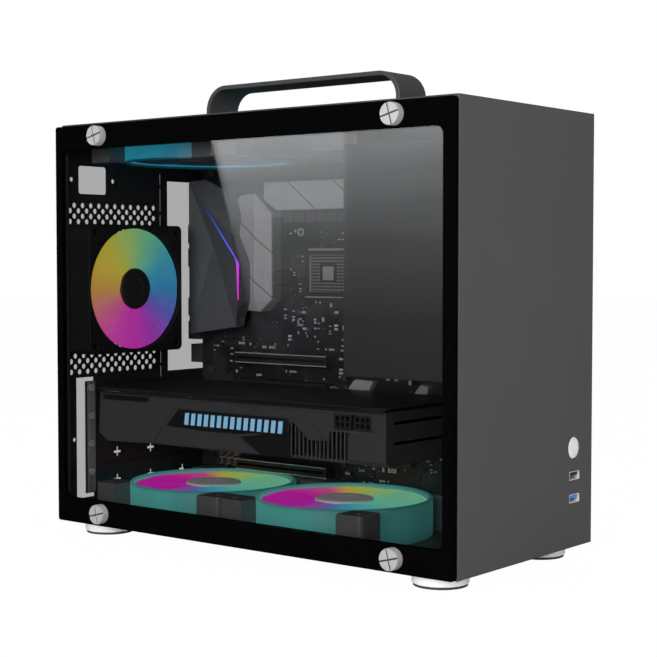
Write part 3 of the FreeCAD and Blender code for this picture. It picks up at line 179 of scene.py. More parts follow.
def finish(name, colour, roughness=0.5, metallic=0.0, grain=0.08, scale=900.0, bump=0.05, specular=0.5,
           edge=0.0, stretch=None, glow=None):
    # Two sizes of grain vary the colour and the gloss, and the finer one lifts the surface a little.
    tree, shader, coords = start_material(name)
    fine = noise(tree, coords, scale, 3.0, stretch)
    broad = noise(tree, coords, 14.0, 3.0)
    mixed = math_node(tree, "ADD", math_node(tree, "MULTIPLY", fine, 0.5),
                      math_node(tree, "MULTIPLY", broad, 0.5))
    tone = ramp(tree, mixed, [(0.3, shade(colour, 1 - grain)), (0.7, shade(colour, 1 + grain))])
    link(tree, tone, shader.inputs["Base Color"])
    link(tree, remap(tree, mixed, max(roughness - 0.06, 0.05), roughness + 0.06), shader.inputs["Roughness"])
    shader.inputs["Metallic"].default_value = metallic
    shader.inputs["Specular IOR Level"].default_value = specular
    relief = tree.nodes.new("ShaderNodeBump")
    relief.inputs["Strength"].default_value = bump
    relief.inputs["Distance"].default_value = 0.0002
    link(tree, fine, relief.inputs["Height"])
    if edge:
        rounding = tree.nodes.new("ShaderNodeBevel")
        rounding.samples = 4
        rounding.inputs["Radius"].default_value = edge * SHARE
        link(tree, rounding.outputs["Normal"], relief.inputs["Normal"])
    link(tree, relief.outputs["Normal"], shader.inputs["Normal"])
    if glow:
        shader.inputs["Emission Color"].default_value = (*glow[:3], 1.0)
        shader.inputs["Emission Strength"].default_value = glow[3]


def glass_finish():
    # Tinted glass: it lets through the same share of light on each face and mirrors a little more at a slant.
    tree, shader, coords = start_material("tinted_glass")
    tree.nodes.remove(shader)
    clear = tree.nodes.new("ShaderNodeBsdfTransparent")
    stops = [(0.0, (0.695, 0.697, 0.7, 1)), (1.0, (0.71, 0.712, 0.715, 1))]
    tint = ramp(tree, noise(tree, coords, 3.0, 1.0), stops)
    link(tree, tint, clear.inputs["Color"])
    mirror = tree.nodes.new("ShaderNodeBsdfGlossy")
    mirror.inputs["Roughness"].default_value = 0.004
    facing = tree.nodes.new("ShaderNodeLayerWeight")
    facing.inputs["Blend"].default_value = 0.5
    slant = math_node(tree, "POWER", facing.outputs["Facing"], 5.0)
    share = math_node(tree, "ADD", math_node(tree, "MULTIPLY", slant, 0.85), 0.09)
    mix = tree.nodes.new("ShaderNodeMixShader")
    link(tree, share, mix.inputs["Fac"])
    link(tree, clear.outputs["BSDF"], mix.inputs[1])
    link(tree, mirror.outputs["BSDF"], mix.inputs[2])
    show(tree, mix.outputs["Shader"])


def turn_about(tree, coords):
    # The angle about the piece's own axis, from 0 to 1.
    place = axes(tree, coords)
    angle = math_node(tree, "ARCTAN2", place["Y"], place["X"])
    share = math_node(tree, "ADD", math_node(tree, "DIVIDE", angle, 2 * math.pi), 1.0)
    return math_node(tree, "FRACT", share)


def lit_disc(name, stops, strength, opacity=1.0):
    # Milky blades lit from the rim, in colours that change round the fan.
    tree, shader, coords = start_material(name)
    colours = ramp(tree, turn_about(tree, coords), stops)
    streaks = noise(tree, coords, 60.0, 2.0)
    level = remap(tree, streaks, 0.92 * strength, 1.08 * strength)
    link(tree, colours, shader.inputs["Emission Color"])
    link(tree, level, shader.inputs["Emission Strength"])
    link(tree, ramp(tree, streaks, [(0.0, grey(0.05)), (1.0, grey(0.09))]), shader.inputs["Base Color"])
    shader.inputs["Roughness"].default_value = 0.6
    shader.inputs["Specular IOR Level"].default_value = 0.1
    shader.inputs["Alpha"].default_value = opacity


def lit_barrel(name, colour, strength, rim):
    # A milky ring: darker towards its base and the front of the case, with a tone of its own at the rim.
    tree, shader, coords = start_material(name)
    place = axes(tree, coords)
    height = math_node(tree, "DIVIDE", place["Z"], FAN_DEPTH * SHARE)
    tones = ((0.0, 0.55), (0.35, 0.85), (0.8, 1.0), (0.93, 1.0), (0.96, rim))
    band = ramp(tree, height, [(share, shade(colour, tone)) for share, tone in tones])
    cloud = noise(tree, coords, 25.0, 2.0)
    across = math_node(tree, "ADD", math_node(tree, "DIVIDE", place["X"], FAN_SIZE * SHARE), 0.5)
    fade = ramp(tree, across, [(0.0, grey(1.0)), (0.55, grey(0.85)), (0.85, grey(0.42)), (1.0, grey(0.35))])
    level = math_node(tree, "MULTIPLY", remap(tree, cloud, 0.95 * strength, 1.3 * strength), fade)
    link(tree, band, shader.inputs["Emission Color"])
    link(tree, level, shader.inputs["Emission Strength"])
    link(tree, ramp(tree, cloud, [(0.0, shade(colour, 0.25)), (1.0, shade(colour, 0.4))]),
         shader.inputs["Base Color"])
    shader.inputs["Roughness"].default_value = 0.35


def board_finish():
    # Lacquered board: fine slanted tracks in patches, small pale solder spots and a satin gloss.
    tree, shader, coords = start_material("circuit_board")
    waves = tree.nodes.new("ShaderNodeTexWave")
    waves.bands_direction = "DIAGONAL"
    waves.inputs["Scale"].default_value = 190.0
    waves.inputs["Distortion"].default_value = 0.6
    link(tree, coords, waves.inputs["Vector"])
    patches = ramp(tree, noise(tree, coords, 38.0, 2.0), [(0.5, grey(0)), (0.56, grey(1))])
    lines = ramp(tree, waves.outputs["Fac"], [(0.55, grey(0)), (0.7, grey(1))])
    tracks = math_node(tree, "MULTIPLY", lines, patches)
    cells = tree.nodes.new("ShaderNodeTexVoronoi")
    cells.inputs["Scale"].default_value = 330.0
    link(tree, coords, cells.inputs["Vector"])
    spots = ramp(tree, cells.outputs["Distance"], [(0.12, grey(1)), (0.2, grey(0))])
    chosen = ramp(tree, noise(tree, coords, 95.0, 1.0), [(0.58, grey(0)), (0.62, grey(1))])
    dots = math_node(tree, "MULTIPLY", spots, chosen)
    base = ramp(tree, tracks, [(0.0, (0.012, 0.013, 0.015, 1)), (1.0, (0.05, 0.052, 0.056, 1))])
    link(tree, blend(tree, dots, base, (0.42, 0.42, 0.44, 1)), shader.inputs["Base Color"])
    link(tree, remap(tree, dots, 0.42, 0.3), shader.inputs["Roughness"])


def grooved_metal(name, colour, roughness, pitch, turn):
    # Brushed metal with thin slanted grooves, drawn as dark lines in its colour: painted shade in the
    # grooves.
    tree, shader, coords = start_material(name)
    mapping = tree.nodes.new("ShaderNodeMapping")
    mapping.inputs["Rotation"].default_value = (0.0, math.radians(turn), 0.0)
    link(tree, coords, mapping.inputs["Vector"])
    along = axes(tree, mapping.outputs["Vector"])["X"]
    step = math_node(tree, "FRACT", math_node(tree, "DIVIDE", along, pitch * SHARE))
    # Thin dark lines at each pitch: painted shade in the grooves.
    line = ramp(tree, step, [(0.0, grey(0.0)), (0.03, grey(0.0)), (0.05, grey(1.0)), (1.0, grey(1.0))])
    grain = noise(tree, coords, 700.0, 2.0, (1.0, 1.0, 0.1))
    tone = ramp(tree, grain, [(0.2, shade(colour, 0.9)), (0.8, shade(colour, 1.1))])
    link(tree, blend(tree, line, shade(colour, 0.35), tone), shader.inputs["Base Color"])
    link(tree, remap(tree, grain, roughness - 0.05, roughness + 0.1), shader.inputs["Roughness"])
    shader.inputs["Metallic"].default_value = 0.35


finish("front_paint", (0.058, 0.058, 0.058), 0.55, grain=0.04, scale=1500, bump=0.12, specular=0.25, edge=0.5)
finish("shell_paint", (0.04, 0.04, 0.042), 0.5, grain=0.05, scale=1500, bump=0.1, edge=0.4)
finish("inner_paint", (0.016, 0.016, 0.017), 0.5, grain=0.1, scale=1200, bump=0.1, specular=0.3)
finish("handle_paint", (0.04, 0.04, 0.041), 0.5, grain=0.05, scale=1500, bump=0.1, specular=0.35)
glass_finish()
finish("border_print", (0.0012, 0.0012, 0.0013), 0.6, grain=0.1, bump=0.0, specular=0.0)
finish("gasket_rubber", (0.008, 0.008, 0.008), 0.8, grain=0.2, bump=0.2)
finish("plated_steel", (0.4, 0.4, 0.4), 0.4, 0.3, grain=0.05, scale=500, bump=0.05, stretch=(1.0, 1.0, 0.15))
finish("pad_rubber", (0.03, 0.03, 0.03), 0.8, grain=0.2, bump=0.3)
finish("foot_metal", (0.78, 0.78, 0.78), 0.4, 0.1, grain=0.03, bump=0.04)
finish("black_screws", (0.02, 0.02, 0.021), 0.35, 0.6, edge=0.2)
finish("silver_button", (0.82, 0.82, 0.82), 0.3, 0.3, grain=0.03, scale=600, bump=0.03)
board_finish()
finish("connector_shell", (0.6, 0.6, 0.61), 0.35, 0.3, grain=0.05, edge=0.2)
finish("fan_plastic", (0.09, 0.088, 0.09), 0.3, grain=0.1, scale=300, bump=0.03, specular=0.6)
finish("blade_plastic", (0.02, 0.02, 0.021), 0.4, edge=0.3)
finish("psu_paint", (0.024, 0.024, 0.0245), 0.55, grain=0.03, scale=1200, bump=0.01, edge=0.6)
finish("black_plastic", (0.018, 0.018, 0.019), 0.45, edge=0.25)
finish("card_plastic", (0.05, 0.05, 0.052), 0.42, grain=0.06, scale=1000, bump=0.08, edge=0.5)
finish("card_plate", (0.03, 0.03, 0.032), 0.4, 0.3, grain=0.06, scale=1000, bump=0.06, edge=0.3)
# Near black: the light panel's own cover, and painted shade in the card's gaps and opening.
finish("card_dark", (0.006, 0.006, 0.006), 0.5, bump=0.0)
finish("fin_metal", (0.05, 0.05, 0.052), 0.4, 0.5, grain=0.08, edge=0.1)
finish("bracket_steel", (0.02, 0.02, 0.021), 0.4, 0.4, edge=0.2)
finish("rail_steel", (0.22, 0.22, 0.225), 0.4, 0.3, grain=0.05, edge=0.2)
grooved_metal("sink_metal", (0.46, 0.455, 0.465), 0.42, 26.0, 52.0)
finish("choke_metal", (0.045, 0.045, 0.048), 0.45, edge=0.5)
finish("light_plastic", (0.02, 0.03, 0.05), 0.3, glow=(0.1, 0.28, 0.55, 0.25))
finish("pale_chip", (0.5, 0.5, 0.49), 0.5, grain=0.15)
finish("black_chip", (0.01, 0.01, 0.011), 0.35, grain=0.2)
finish("blue_tongue", (0.02, 0.2, 0.62), 0.4)
finish("dark_tongue", (0.02, 0.02, 0.02), 0.4)
finish("cap_cream", (0.62, 0.5, 0.42), 0.4, grain=0.1)


OTHER_FINISH = {"io_ports": "port_metal", "board_standoffs": "port_metal"}


def dress_nodes():
    # Every node that stays takes the finish of its own material slot.
    for part in frame["record"]["subparts"]:
        node = frame["nodes"][part["node"]]
        node.data.materials.clear()
        node.data.materials.append(M[OTHER_FINISH.get(part["node"], part["material_slot"])])


# Forms

PLANES = {
    "YZ": Matrix(((0, 0, 1, 0), (1, 0, 0, 0), (0, 1, 0, 0), (0, 0, 0, 1))),
    "XZ": Matrix(((1, 0, 0, 0), (0, 0, 1, 0), (0, 1, 0, 0), (0, 0, 0, 1))),
    "XY": Matrix.Identity(4),
}


def tidy(bm):
    bmesh.ops.remove_doubles(bm, verts=bm.verts, dist=1e-6)
    bmesh.ops.recalc_face_normals(bm, faces=bm.faces)


def to_mesh(name, bm, angle=20.0):
    mesh = bpy.data.meshes.new(name)
    bm.to_mesh(mesh)
    bm.free()
    mesh.shade_smooth()
    mesh.set_sharp_from_angle(angle=math.radians(angle))
    return mesh


def evaluated(obj):
    bpy.context.view_layer.update()
    graph = bpy.context.evaluated_depsgraph_get()
    return bpy.data.meshes.new_from_object(obj.evaluated_get(graph))


def sheet(loops, plane, start, depth, bevel=0.0, own_frame=False):
    # A flat piece with holes. The first loop is the outline, in the plane's own two axes.
    curve = bpy.data.curves.new("outline", "CURVE")
    curve.dimensions = "2D"
    curve.fill_mode = "BOTH"
    curve.extrude = (depth / 2 - bevel) * SHARE
    if bevel:
        curve.bevel_depth = bevel * SHARE
        curve.bevel_resolution = 1
        curve.offset = -bevel * SHARE
    for loop in loops:
        spline = curve.splines.new("POLY")
        spline.points.add(len(loop) - 1)
        for point, (a, b) in zip(spline.points, loop):
            point.co = (a * SHARE, b * SHARE, 0, 1)
        spline.use_cyclic_u = True
    obj = bpy.data.objects.new("outline", curve)
    bpy.context.scene.collection.objects.link(obj)
    mesh = evaluated(obj)
    bpy.data.objects.remove(obj)
    bpy.data.curves.remove(curve)
    bm = bmesh.new()
    bm.from_mesh(mesh)
    bpy.data.meshes.remove(mesh)
    bm.transform(Matrix.Translation((0, 0, (start + depth / 2) * SHARE)))
    bm.transform(PLANES[plane])
    if not own_frame:
        bm.transform(Matrix.Translation(ORIGIN))
    tidy(bm)
    return bm


def lathe(profile, segments=64):
    # A turned form about Z. Each entry is a radius and a height.
    bm = bmesh.new()
    rings = []
    for radius, z in profile:
        if radius < 1e-6:
            rings.append([bm.verts.new((0, 0, z * SHARE))])
            continue
        step = 2 * math.pi / segments
        rings.append([bm.verts.new((radius * SHARE * math.cos(i * step), radius * SHARE * math.sin(i * step),
                                    z * SHARE)) for i in range(segments)])
    for low, high in zip(rings, rings[1:]):
        for i in range(segments):
            j = (i + 1) % segments
            corners = [low[i % len(low)], low[j % len(low)], high[j % len(high)], high[i % len(high)]]
            unique = list(dict.fromkeys(corners))
            if len(unique) > 2:
                bm.faces.new(unique)
    tidy(bm)
    return bm


def block(x0, x1, y0, y1, z0, z1):
    return sheet([rectangle(x0, x1, z0, z1)], "XZ", y0, y1 - y0)


def join(parts):
    whole = bmesh.new()
    for part in parts:
        mesh = bpy.data.meshes.new("part")
        part.to_mesh(mesh)
        part.free()
        whole.from_mesh(mesh)
        bpy.data.meshes.remove(mesh)
    return whole


def piece(name, bm, finish_name, body="case", matrix=None, nodes=(), angle=20.0):
    mesh = to_mesh(name, bm, angle)
    mesh.materials.append(M[finish_name])
    obj = bpy.data.objects.new(name, mesh)
    bpy.context.scene.collection.objects.link(obj)
    if matrix is not None:
        obj.matrix_world = matrix
    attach(obj, body)
    if nodes:
        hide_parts(*nodes)
    return obj


def rectangle(a0, a1, b0, b1):
    return [(a0, b0), (a1, b0), (a1, b1), (a0, b1)]


def rounded(a0, a1, b0, b1, radius, steps=6):
    corners = [(a1 - radius, b1 - radius), (a0 + radius, b1 - radius), (a0 + radius, b0 + radius),
               (a1 - radius, b0 + radius)]
    points = []
    for quarter, (a, b) in enumerate(corners):
        for i in range(steps + 1):
            angle = math.pi / 2 * (quarter + i / steps)
            points.append((a + radius * math.cos(angle), b + radius * math.sin(angle)))
    return points


def circle(a, b, radius, sides=32):
    angles = [2 * math.pi * i / sides for i in range(sides)]
    return [(a + radius * math.cos(angle), b + radius * math.sin(angle)) for angle in angles]


# Glass side

GLASS = (-1.5, 336.0, 0.3, 278.5)
WINDOW = (4.6, 328.0, 17.5, 262.0)
THUMBS = {"screw_rear_top": ("thumbscrew_rear_top", 43.5, 270.3),
          "screw_front_top": ("thumbscrew_front_top", 294.0, 270.3),
          "screw_rear_bottom": ("thumbscrew_rear_bottom", 43.5, 9.2),
          "screw_front_bottom": ("thumbscrew_front_bottom", 294.0, 9.2)}


GLASS_THICKNESS = 4.0
THUMB_HOLE, THUMB_RADIUS, THUMB_TURN = 3.2, 6.75, 15.0
THUMB_SEAT, THUMB_FACE, THUMB_SLOT = 9.0, 14.0, 1.0


def glass_side():
    # One plate: a printed border with the screws' holes, and the clear pane inside it.
    window = rounded(*WINDOW, 5.0)
    holes = [circle(x, z, THUMB_HOLE) for _, x, z in THUMBS.values()]
    border = sheet([rounded(*GLASS, 2.0), window] + holes, "XZ", 0, GLASS_THICKNESS, 0.25)
    piece("glass_border", border, "border_print", "glass", nodes=["glass_panel"])
    pane = piece("glass_pane", sheet([window], "XZ", 0, GLASS_THICKNESS), "tinted_glass", "glass",
                 nodes=["glass_panel"])
    pane.visible_shadow = False


def thumb_head():
    # A plain turned head whose face is split by a thin crossed slot.
    base = lathe([(0, THUMB_SEAT), (6.3, THUMB_SEAT), (THUMB_RADIUS, 9.4), (THUMB_RADIUS, THUMB_FACE),
                  (0, THUMB_FACE)], 64)
    half, radius = 0.5, 6.6
    edge = math.degrees(math.asin(half / radius))
    quarter = [(half, half)] + arc(0, 0, radius, edge, 90 - edge, 16)
    tops = []
    for k in range(4):
        part = sheet([quarter], "XY", THUMB_FACE, THUMB_SLOT, 0.15, own_frame=True)
        part.transform(Matrix.Rotation(math.radians(90 * k + THUMB_TURN), 4, "Z"))
        tops.append(part)
    return join([base] + tops)


def thumbscrews():
    shank = [(0, 0), (1.5, 0), (1.95, 0.5), (1.95, 9.2), (0, 9.2)]
    # A dark disc under the crossed slot: painted shade at the bottom of the slot.
    slot_shade_disc = [(0, THUMB_FACE), (6.5, THUMB_FACE), (6.5, THUMB_FACE + 0.1), (0, THUMB_FACE + 0.1)]
    for body, (node, x, z) in THUMBS.items():
        matrix = Matrix.Translation(at(x, THUMB_SEAT, z)) @ Matrix.Rotation(math.radians(90), 4, "X")
        piece(node + "_head", thumb_head(), "plated_steel", body, nodes=[node], matrix=matrix)
        piece(node + "_slots", lathe(slot_shade_disc, 64), "slot_shade_finish", body, nodes=[node],
              matrix=matrix)
        piece(node + "_shank", lathe(shank, 32), "plated_steel", body, nodes=[node], matrix=matrix)


# Feet, handle and front

def feet():
    # Turned feet, each with a ring of rubber under it.
    spots = {"foot_rear_near": (26.0, 24.0), "foot_rear_far": (26.0, 137.5), "foot_front_near": (311.0, 24.0),
             "foot_front_far": (311.0, 137.5)}
    underside, radius, pad_height, pad_radius, pad_hole = -8, 17.3, 1.5, 16.5, 4.5
    seat = underside + pad_height
    profile = [(0, seat), (pad_radius, seat), (17.1, -6.2), (radius, -5.6), (radius, -0.5), (17.0, 0), (0, 0)]
    pads = []
    for node, (x, y) in spots.items():
        piece(node + "_body", lathe(profile, 72), "foot_metal", matrix=Matrix.Translation(at(x, y, 0)),
              nodes=[node])
        pad = [circle(x, y, pad_radius, 64), circle(x, y, pad_hole)]
        pads.append(sheet(pad, "XY", underside, pad_height, 0.2))
    piece("foot_pad_rings", join(pads), "pad_rubber", nodes=["foot_pads"])


def handle():
    # A flat strap bent to a low arch, with a foot turned outwards at each end.
    x0, x1, top, strap, corner, width, reach = 80.0, 248.0, 307.0, 3.0, 17.0, 30.0, 14.0
    roof = BODY[2]
    bend, low_bend = (x0 + corner, x1 - corner, top - corner), corner - strap
    under = arc(bend[0], bend[2], low_bend, 180, 90) + arc(bend[1], bend[2], low_bend, 90, 0)
    over = arc(bend[1], bend[2], corner, 0, 90) + arc(bend[0], bend[2], corner, 90, 180)
    outer = [(x0 - reach, roof), (x0 + strap, roof)] + under
    outer += [(x1 - strap, roof), (x1 + reach, roof), (x1 + reach, roof + strap), (x1, roof + strap)]
    outer += over + [(x0, roof + strap), (x0 - reach, roof + strap)]
    near = (SHELL_NEAR + SHELL_FAR) / 2 - width / 2
    piece("handle_strap", sheet([outer], "XZ", near, width, 0.5), "handle_paint", nodes=["handle"])


def arc(a, b, radius, start, end, steps=12):
    points = []
    for i in range(steps + 1):
        angle = math.radians(start + (end - start) * i / steps)
        points.append((a + radius * math.cos(angle), b + radius * math.sin(angle)))
    return points


def front_face():
    # A folded plate with holes for the button and the ports, and two pegs for the small board behind them.
    holes = [circle(*BUTTON, 7.3, 48)]
    for z in PORT_HEIGHTS:
        holes.append(rounded(PORT_SPAN[0] - 0.3, PORT_SPAN[1] + 0.3, z - 3.15, z + 3.15, 0.6, 3))
    plate = sheet([rectangle(SHELL_NEAR, BODY[1], 0, BODY[2])] + holes, "YZ", FRONT_BACK, FRONT_SHEET, 0.3)
    fold, near, far, low, high = FRONT_BACK - 10.0, SHELL_NEAR + SHEET, SHELL_FAR, 1.0, 279.0
    parts = [plate, block(fold, FRONT_BACK, far - SHEET, far, low + SHEET, high - SHEET),
             block(fold, FRONT_BACK, near, far, high - SHEET, high),
             block(fold, FRONT_BACK, near, far, low, low + SHEET),
             block(fold + 2.0, FRONT_BACK, SHELL_NEAR, near, low, high)]
    for z in (26.0, 72.0):
        parts.append(sheet([circle(130.0, z, 2.5, 24)], "YZ", PORT_BACK, FRONT_BACK - PORT_BACK))
    piece("front_face", join(parts), "front_paint", nodes=["front_panel"])


def button():
    # A domed cap on a thin stem, with a flange behind the panel.
    start = 327.5
    stem, flange = [(0, 0), (2.5, 0), (2.5, 5.8)], [(8.5, 5.8), (8.5, 7.0)]
    cap = [(7.0, 7.0), (7.0, 7.6), (6.8, 8.0), (6.2, 8.25), (4.6, 8.42), (2.4, 8.49), (0, 8.5)]
    piece("button_cap", lathe(stem + flange + cap, 64), "silver_button", "button", nodes=["power_button"],
          matrix=Matrix.Translation(at(start, *BUTTON)) @ Matrix.Rotation(math.radians(90), 4, "Y"))


def usb_ports():
    # Each port is a thin metal shell, closed at its back, round a flat tongue.
    wall, back, half = 0.5, 1.6, 2.85
    start = PORT_BACK + back
    for node, z, tongue in (("usb_port_upper", PORT_HEIGHTS[0], "dark_tongue"),
                            ("usb_port_lower", PORT_HEIGHTS[1], "blue_tongue")):
        outer = rounded(*PORT_SPAN, z - half, z + half, 0.8, 4)
        inner = rounded(PORT_SPAN[0] + wall, PORT_SPAN[1] - wall, z - half + wall, z + half - wall, 0.5, 4)
        shell = join([sheet([outer, inner], "YZ", start, 16.2, 0.1), sheet([outer], "YZ", PORT_BACK, back)])
        piece(node + "_shell", shell, "connector_shell", nodes=[node])
        bar = sheet([rectangle(135.1, 145.3, z + 0.2, z + 2.0)], "YZ", start, 15.4, 0.15)
        piece(node + "_tongue", bar, tongue)


# Rear panel with its full perforation

def rear_holes():
    # Round holes in staggered rows above, behind and below the fan, clear of its four screws.
    reach = REAR_FAN_SIZE * FAN_HOLE_SHARE
    fixings = [(REAR_FAN[0] + i * reach, REAR_FAN[1] + j * reach) for i in (-1, 1) for j in (-1, 1)]
    holes = [circle(y, z, 2.2, 16) for y, z in fixings]
    first_y, first_z = 11.2, REAR_FAN[1] + REAR_FAN_SIZE / 2 + 2.2
    step_y, step_z, radius, clearance = 7.9, 3.85, 2.0, 4.6
    for row in range(-28, 4):
        for column in range(11):
            y = first_y + (column + (row % 2) / 2) * step_y
            z = first_z + row * step_z
            if all(math.hypot(y - a, z - b) > clearance for a, b in fixings):
                holes.append(circle(y, z, radius, 14))
    return holes


def rear_face():
    # The rear plate with the openings for the mains inlet, the board's ports, the card slots and the rail.
    inlet, inlet_screws = rounded(19.1, 46.1, 232.5, 252.5, 2, 4), (12.6, 52.6)
    port_opening, notch = rectangle(108.5, 152.95, 100.5, 244.9), rectangle(33.6, 36.5, 37.6, 49.4)
    seam = (100.7, 101.9)
    slot_near, slot_far, half = 38.5, 126.0, 6.5
    holes = [inlet, circle(inlet_screws[0], 242.5, 1.75, 20), circle(inlet_screws[1], 242.5, 1.75, 20),
             port_opening, circle(13.6, 56.2, 1.6, 16), notch]
    holes.append([(15.5, 13.3), (32.5, 13.3), (32.5, 16.3), (24.5, 16.3), (24.5, 97.6), (32.5, 97.6),
                  (32.5, 100.6), (15.5, 100.6)])
    for z in SLOT_HEIGHTS:
        holes.append(rectangle(slot_near, slot_far, z - half, z + half))
        holes.append(circle(SLOT_SCREW_Y, z + SLOT_SCREW_UP, 1.65, 12))
    for low, high in ((242.0, 250.0), (222.0, 239.0), (207.0, 219.0), (96.5, 104.5), (107.0, 116.0)):
        holes.append(rectangle(*seam, low, high))
    near, far, low, high, rim = SHELL_NEAR + SHEET, 154.1, 1.0, 279.0, 7.0
    plate = sheet([rectangle(SHELL_NEAR, SHELL_FAR, low, high)] + holes + rear_holes(), "YZ", 0, SHEET)
    rims = [block(SHEET, 5.5, SHELL_NEAR, near, low, high),
            block(SHEET, rim, SHELL_FAR - SHEET, SHELL_FAR, low, high),
            block(SHEET, rim, near, far, high - SHEET, high),
            block(SHEET, rim, near, far, low, low + SHEET)]
    piece("rear_face", join([plate] + rims), "inner_paint", nodes=["rear_panel"])


def rail_strip():
    # A thin strip on the brackets' folded ends, round the slot screws.
    screws = [circle(SLOT_SCREW_Y, z + SLOT_SCREW_UP, 3.2, 20) for z in SLOT_HEIGHTS]
    strip = sheet([rectangle(25, 32.5, 17, 97.2)] + screws, "YZ", 1.9, 0.4, 0.1)
    piece("rail_strip", strip, "rail_steel")


# Fans

REAR_STOPS = [(0.0, (0.02, 0.2, 0.42, 1)), (0.1, (0.03, 0.3, 0.4, 1)), (0.2, (0.12, 0.42, 0.22, 1)),
              (0.28, (0.28, 0.44, 0.1, 1)), (0.36, (0.46, 0.42, 0.03, 1)), (0.44, (0.52, 0.36, 0.03, 1)),
              (0.51, (0.5, 0.24, 0.05, 1)), (0.58, (0.56, 0.1, 0.2, 1)), (0.66, (0.56, 0.03, 0.36, 1)),
              (0.76, (0.5, 0.01, 0.4, 1)), (0.84, (0.3, 0.03, 0.42, 1)), (0.91, (0.1, 0.08, 0.45, 1)),
              (1.0, (0.02, 0.2, 0.42, 1))]
FLAT_STOPS = [(0.0, (0.1, 0.4, 0.28, 1)), (0.2, (0.14, 0.4, 0.22, 1)), (0.3, (0.3, 0.4, 0.06, 1)),
              (0.345, (0.42, 0.34, 0.03, 1)), (0.39, (0.45, 0.06, 0.2, 1)), (0.5, (0.42, 0.0, 0.26, 1)),
              (0.72, (0.36, 0.0, 0.28, 1)), (0.8, (0.08, 0.1, 0.3, 1)), (0.86, (0.02, 0.26, 0.36, 1)),
              (1.0, (0.1, 0.4, 0.28, 1))]
TOP_STOPS = [(0.0, (0.01, 0.03, 0.05, 1)), (0.4, (0.015, 0.05, 0.09, 1)), (0.75, (0.01, 0.1, 0.16, 1)),
             (1.0, (0.01, 0.03, 0.05, 1))]


def blades(tip, hub, high, count):
    # Broad swept blades with thin sides, nearly flat and just overlapping: lit, they look like a disc.
    bm = bmesh.new()
    steps_r, steps_a = 7, 8
    root, half, sweep = hub * 0.97, math.pi / count * 1.06, 0.25
    middle, rise, crown, thickness = high - 1.9, 0.2, 0.3, 0.3
    for k in range(count):
        top, under = [], []
        for side, rows in ((1, top), (-1, under)):
            for i in range(steps_r + 1):
                share = i / steps_r
                r = (root + (tip - root) * share) * SHARE
                row = []
                for j in range(steps_a + 1):
                    a = 2 * j / steps_a - 1
                    angle = 2 * math.pi * k / count + half * a + sweep * share * share
                    z = middle + a * rise + crown * (1 - a * a) + side * thickness * (1 - 0.75 * a * a)
                    row.append(bm.verts.new((r * math.cos(angle), r * math.sin(angle), z * SHARE)))
                rows.append(row)
        for rows in (top, under):
            for i in range(steps_r):
                for j in range(steps_a):
                    bm.faces.new((rows[i][j], rows[i + 1][j], rows[i + 1][j + 1], rows[i][j + 1]))
        for i in range(steps_r):
            for j in (0, steps_a):
                bm.faces.new((top[i][j], top[i + 1][j], under[i + 1][j], under[i][j]))
        for j in range(steps_a):
            for i in (0, steps_r):
                bm.faces.new((top[i][j], top[i][j + 1], under[i][j + 1], under[i][j]))
    bmesh.ops.recalc_face_normals(bm, faces=bm.faces)
    return bm


def hub_form(hub, low, high):
    return lathe([(0, low), (hub, low), (hub, high - 1.2), (hub - 0.4, high - 0.5), (hub - 1.2, high),
                  (hub * 0.5, high), (hub * 0.47, high - 0.3), (0, high - 0.3)], 56)


def screw_places(size):
    return [(i * size * FAN_HOLE_SHARE, j * size * FAN_HOLE_SHARE) for i in (-1, 1) for j in (-1, 1)]


def corner_blocks(size, reach):
    # The frame's four corners, left standing outside the round ring.
    half, round_edge = size / 2, 3.5
    start = math.degrees(math.atan2(math.sqrt(half * half - reach * reach), reach))
    points = arc(0, 0, half + 0.05, start, 90 - start, 8)
    middle = half - round_edge
    points += [(half, reach)] + arc(middle, middle, round_edge, 0, 90, 6) + [(reach, half)]
    blocks = []
    for x, y in screw_places(size):
        shape = [(math.copysign(a, x), math.copysign(b, y)) for a, b in points]
        blocks.append(sheet([shape, circle(x, y, FAN_HOLE, 16)], "XY", 0, FAN_DEPTH, 0.6, own_frame=True))
    return join(blocks)


def frame_arms(size, wall, hub):
    # The motor's cup with a bore for the shaft, and four arms out to the ring.
    base, half_arm, bore = 3.5, 2, 1.6
    cup = [(0, 0), (hub, 0), (hub, base - 0.5), (hub - 0.5, base), (bore, base), (bore, 0.5), (0, 0.5)]
    parts = [lathe(cup, 48)]
    outline = rectangle(hub - 1, size / 2 - wall + 0.3, -half_arm, half_arm)
    for k in range(4):
        arm = sheet([outline], "XY", 0, base, 0.3, own_frame=True)
        arm.transform(Matrix.Rotation(math.radians(45 + 90 * k), 4, "Z"))
        parts.append(arm)
    return join(parts)


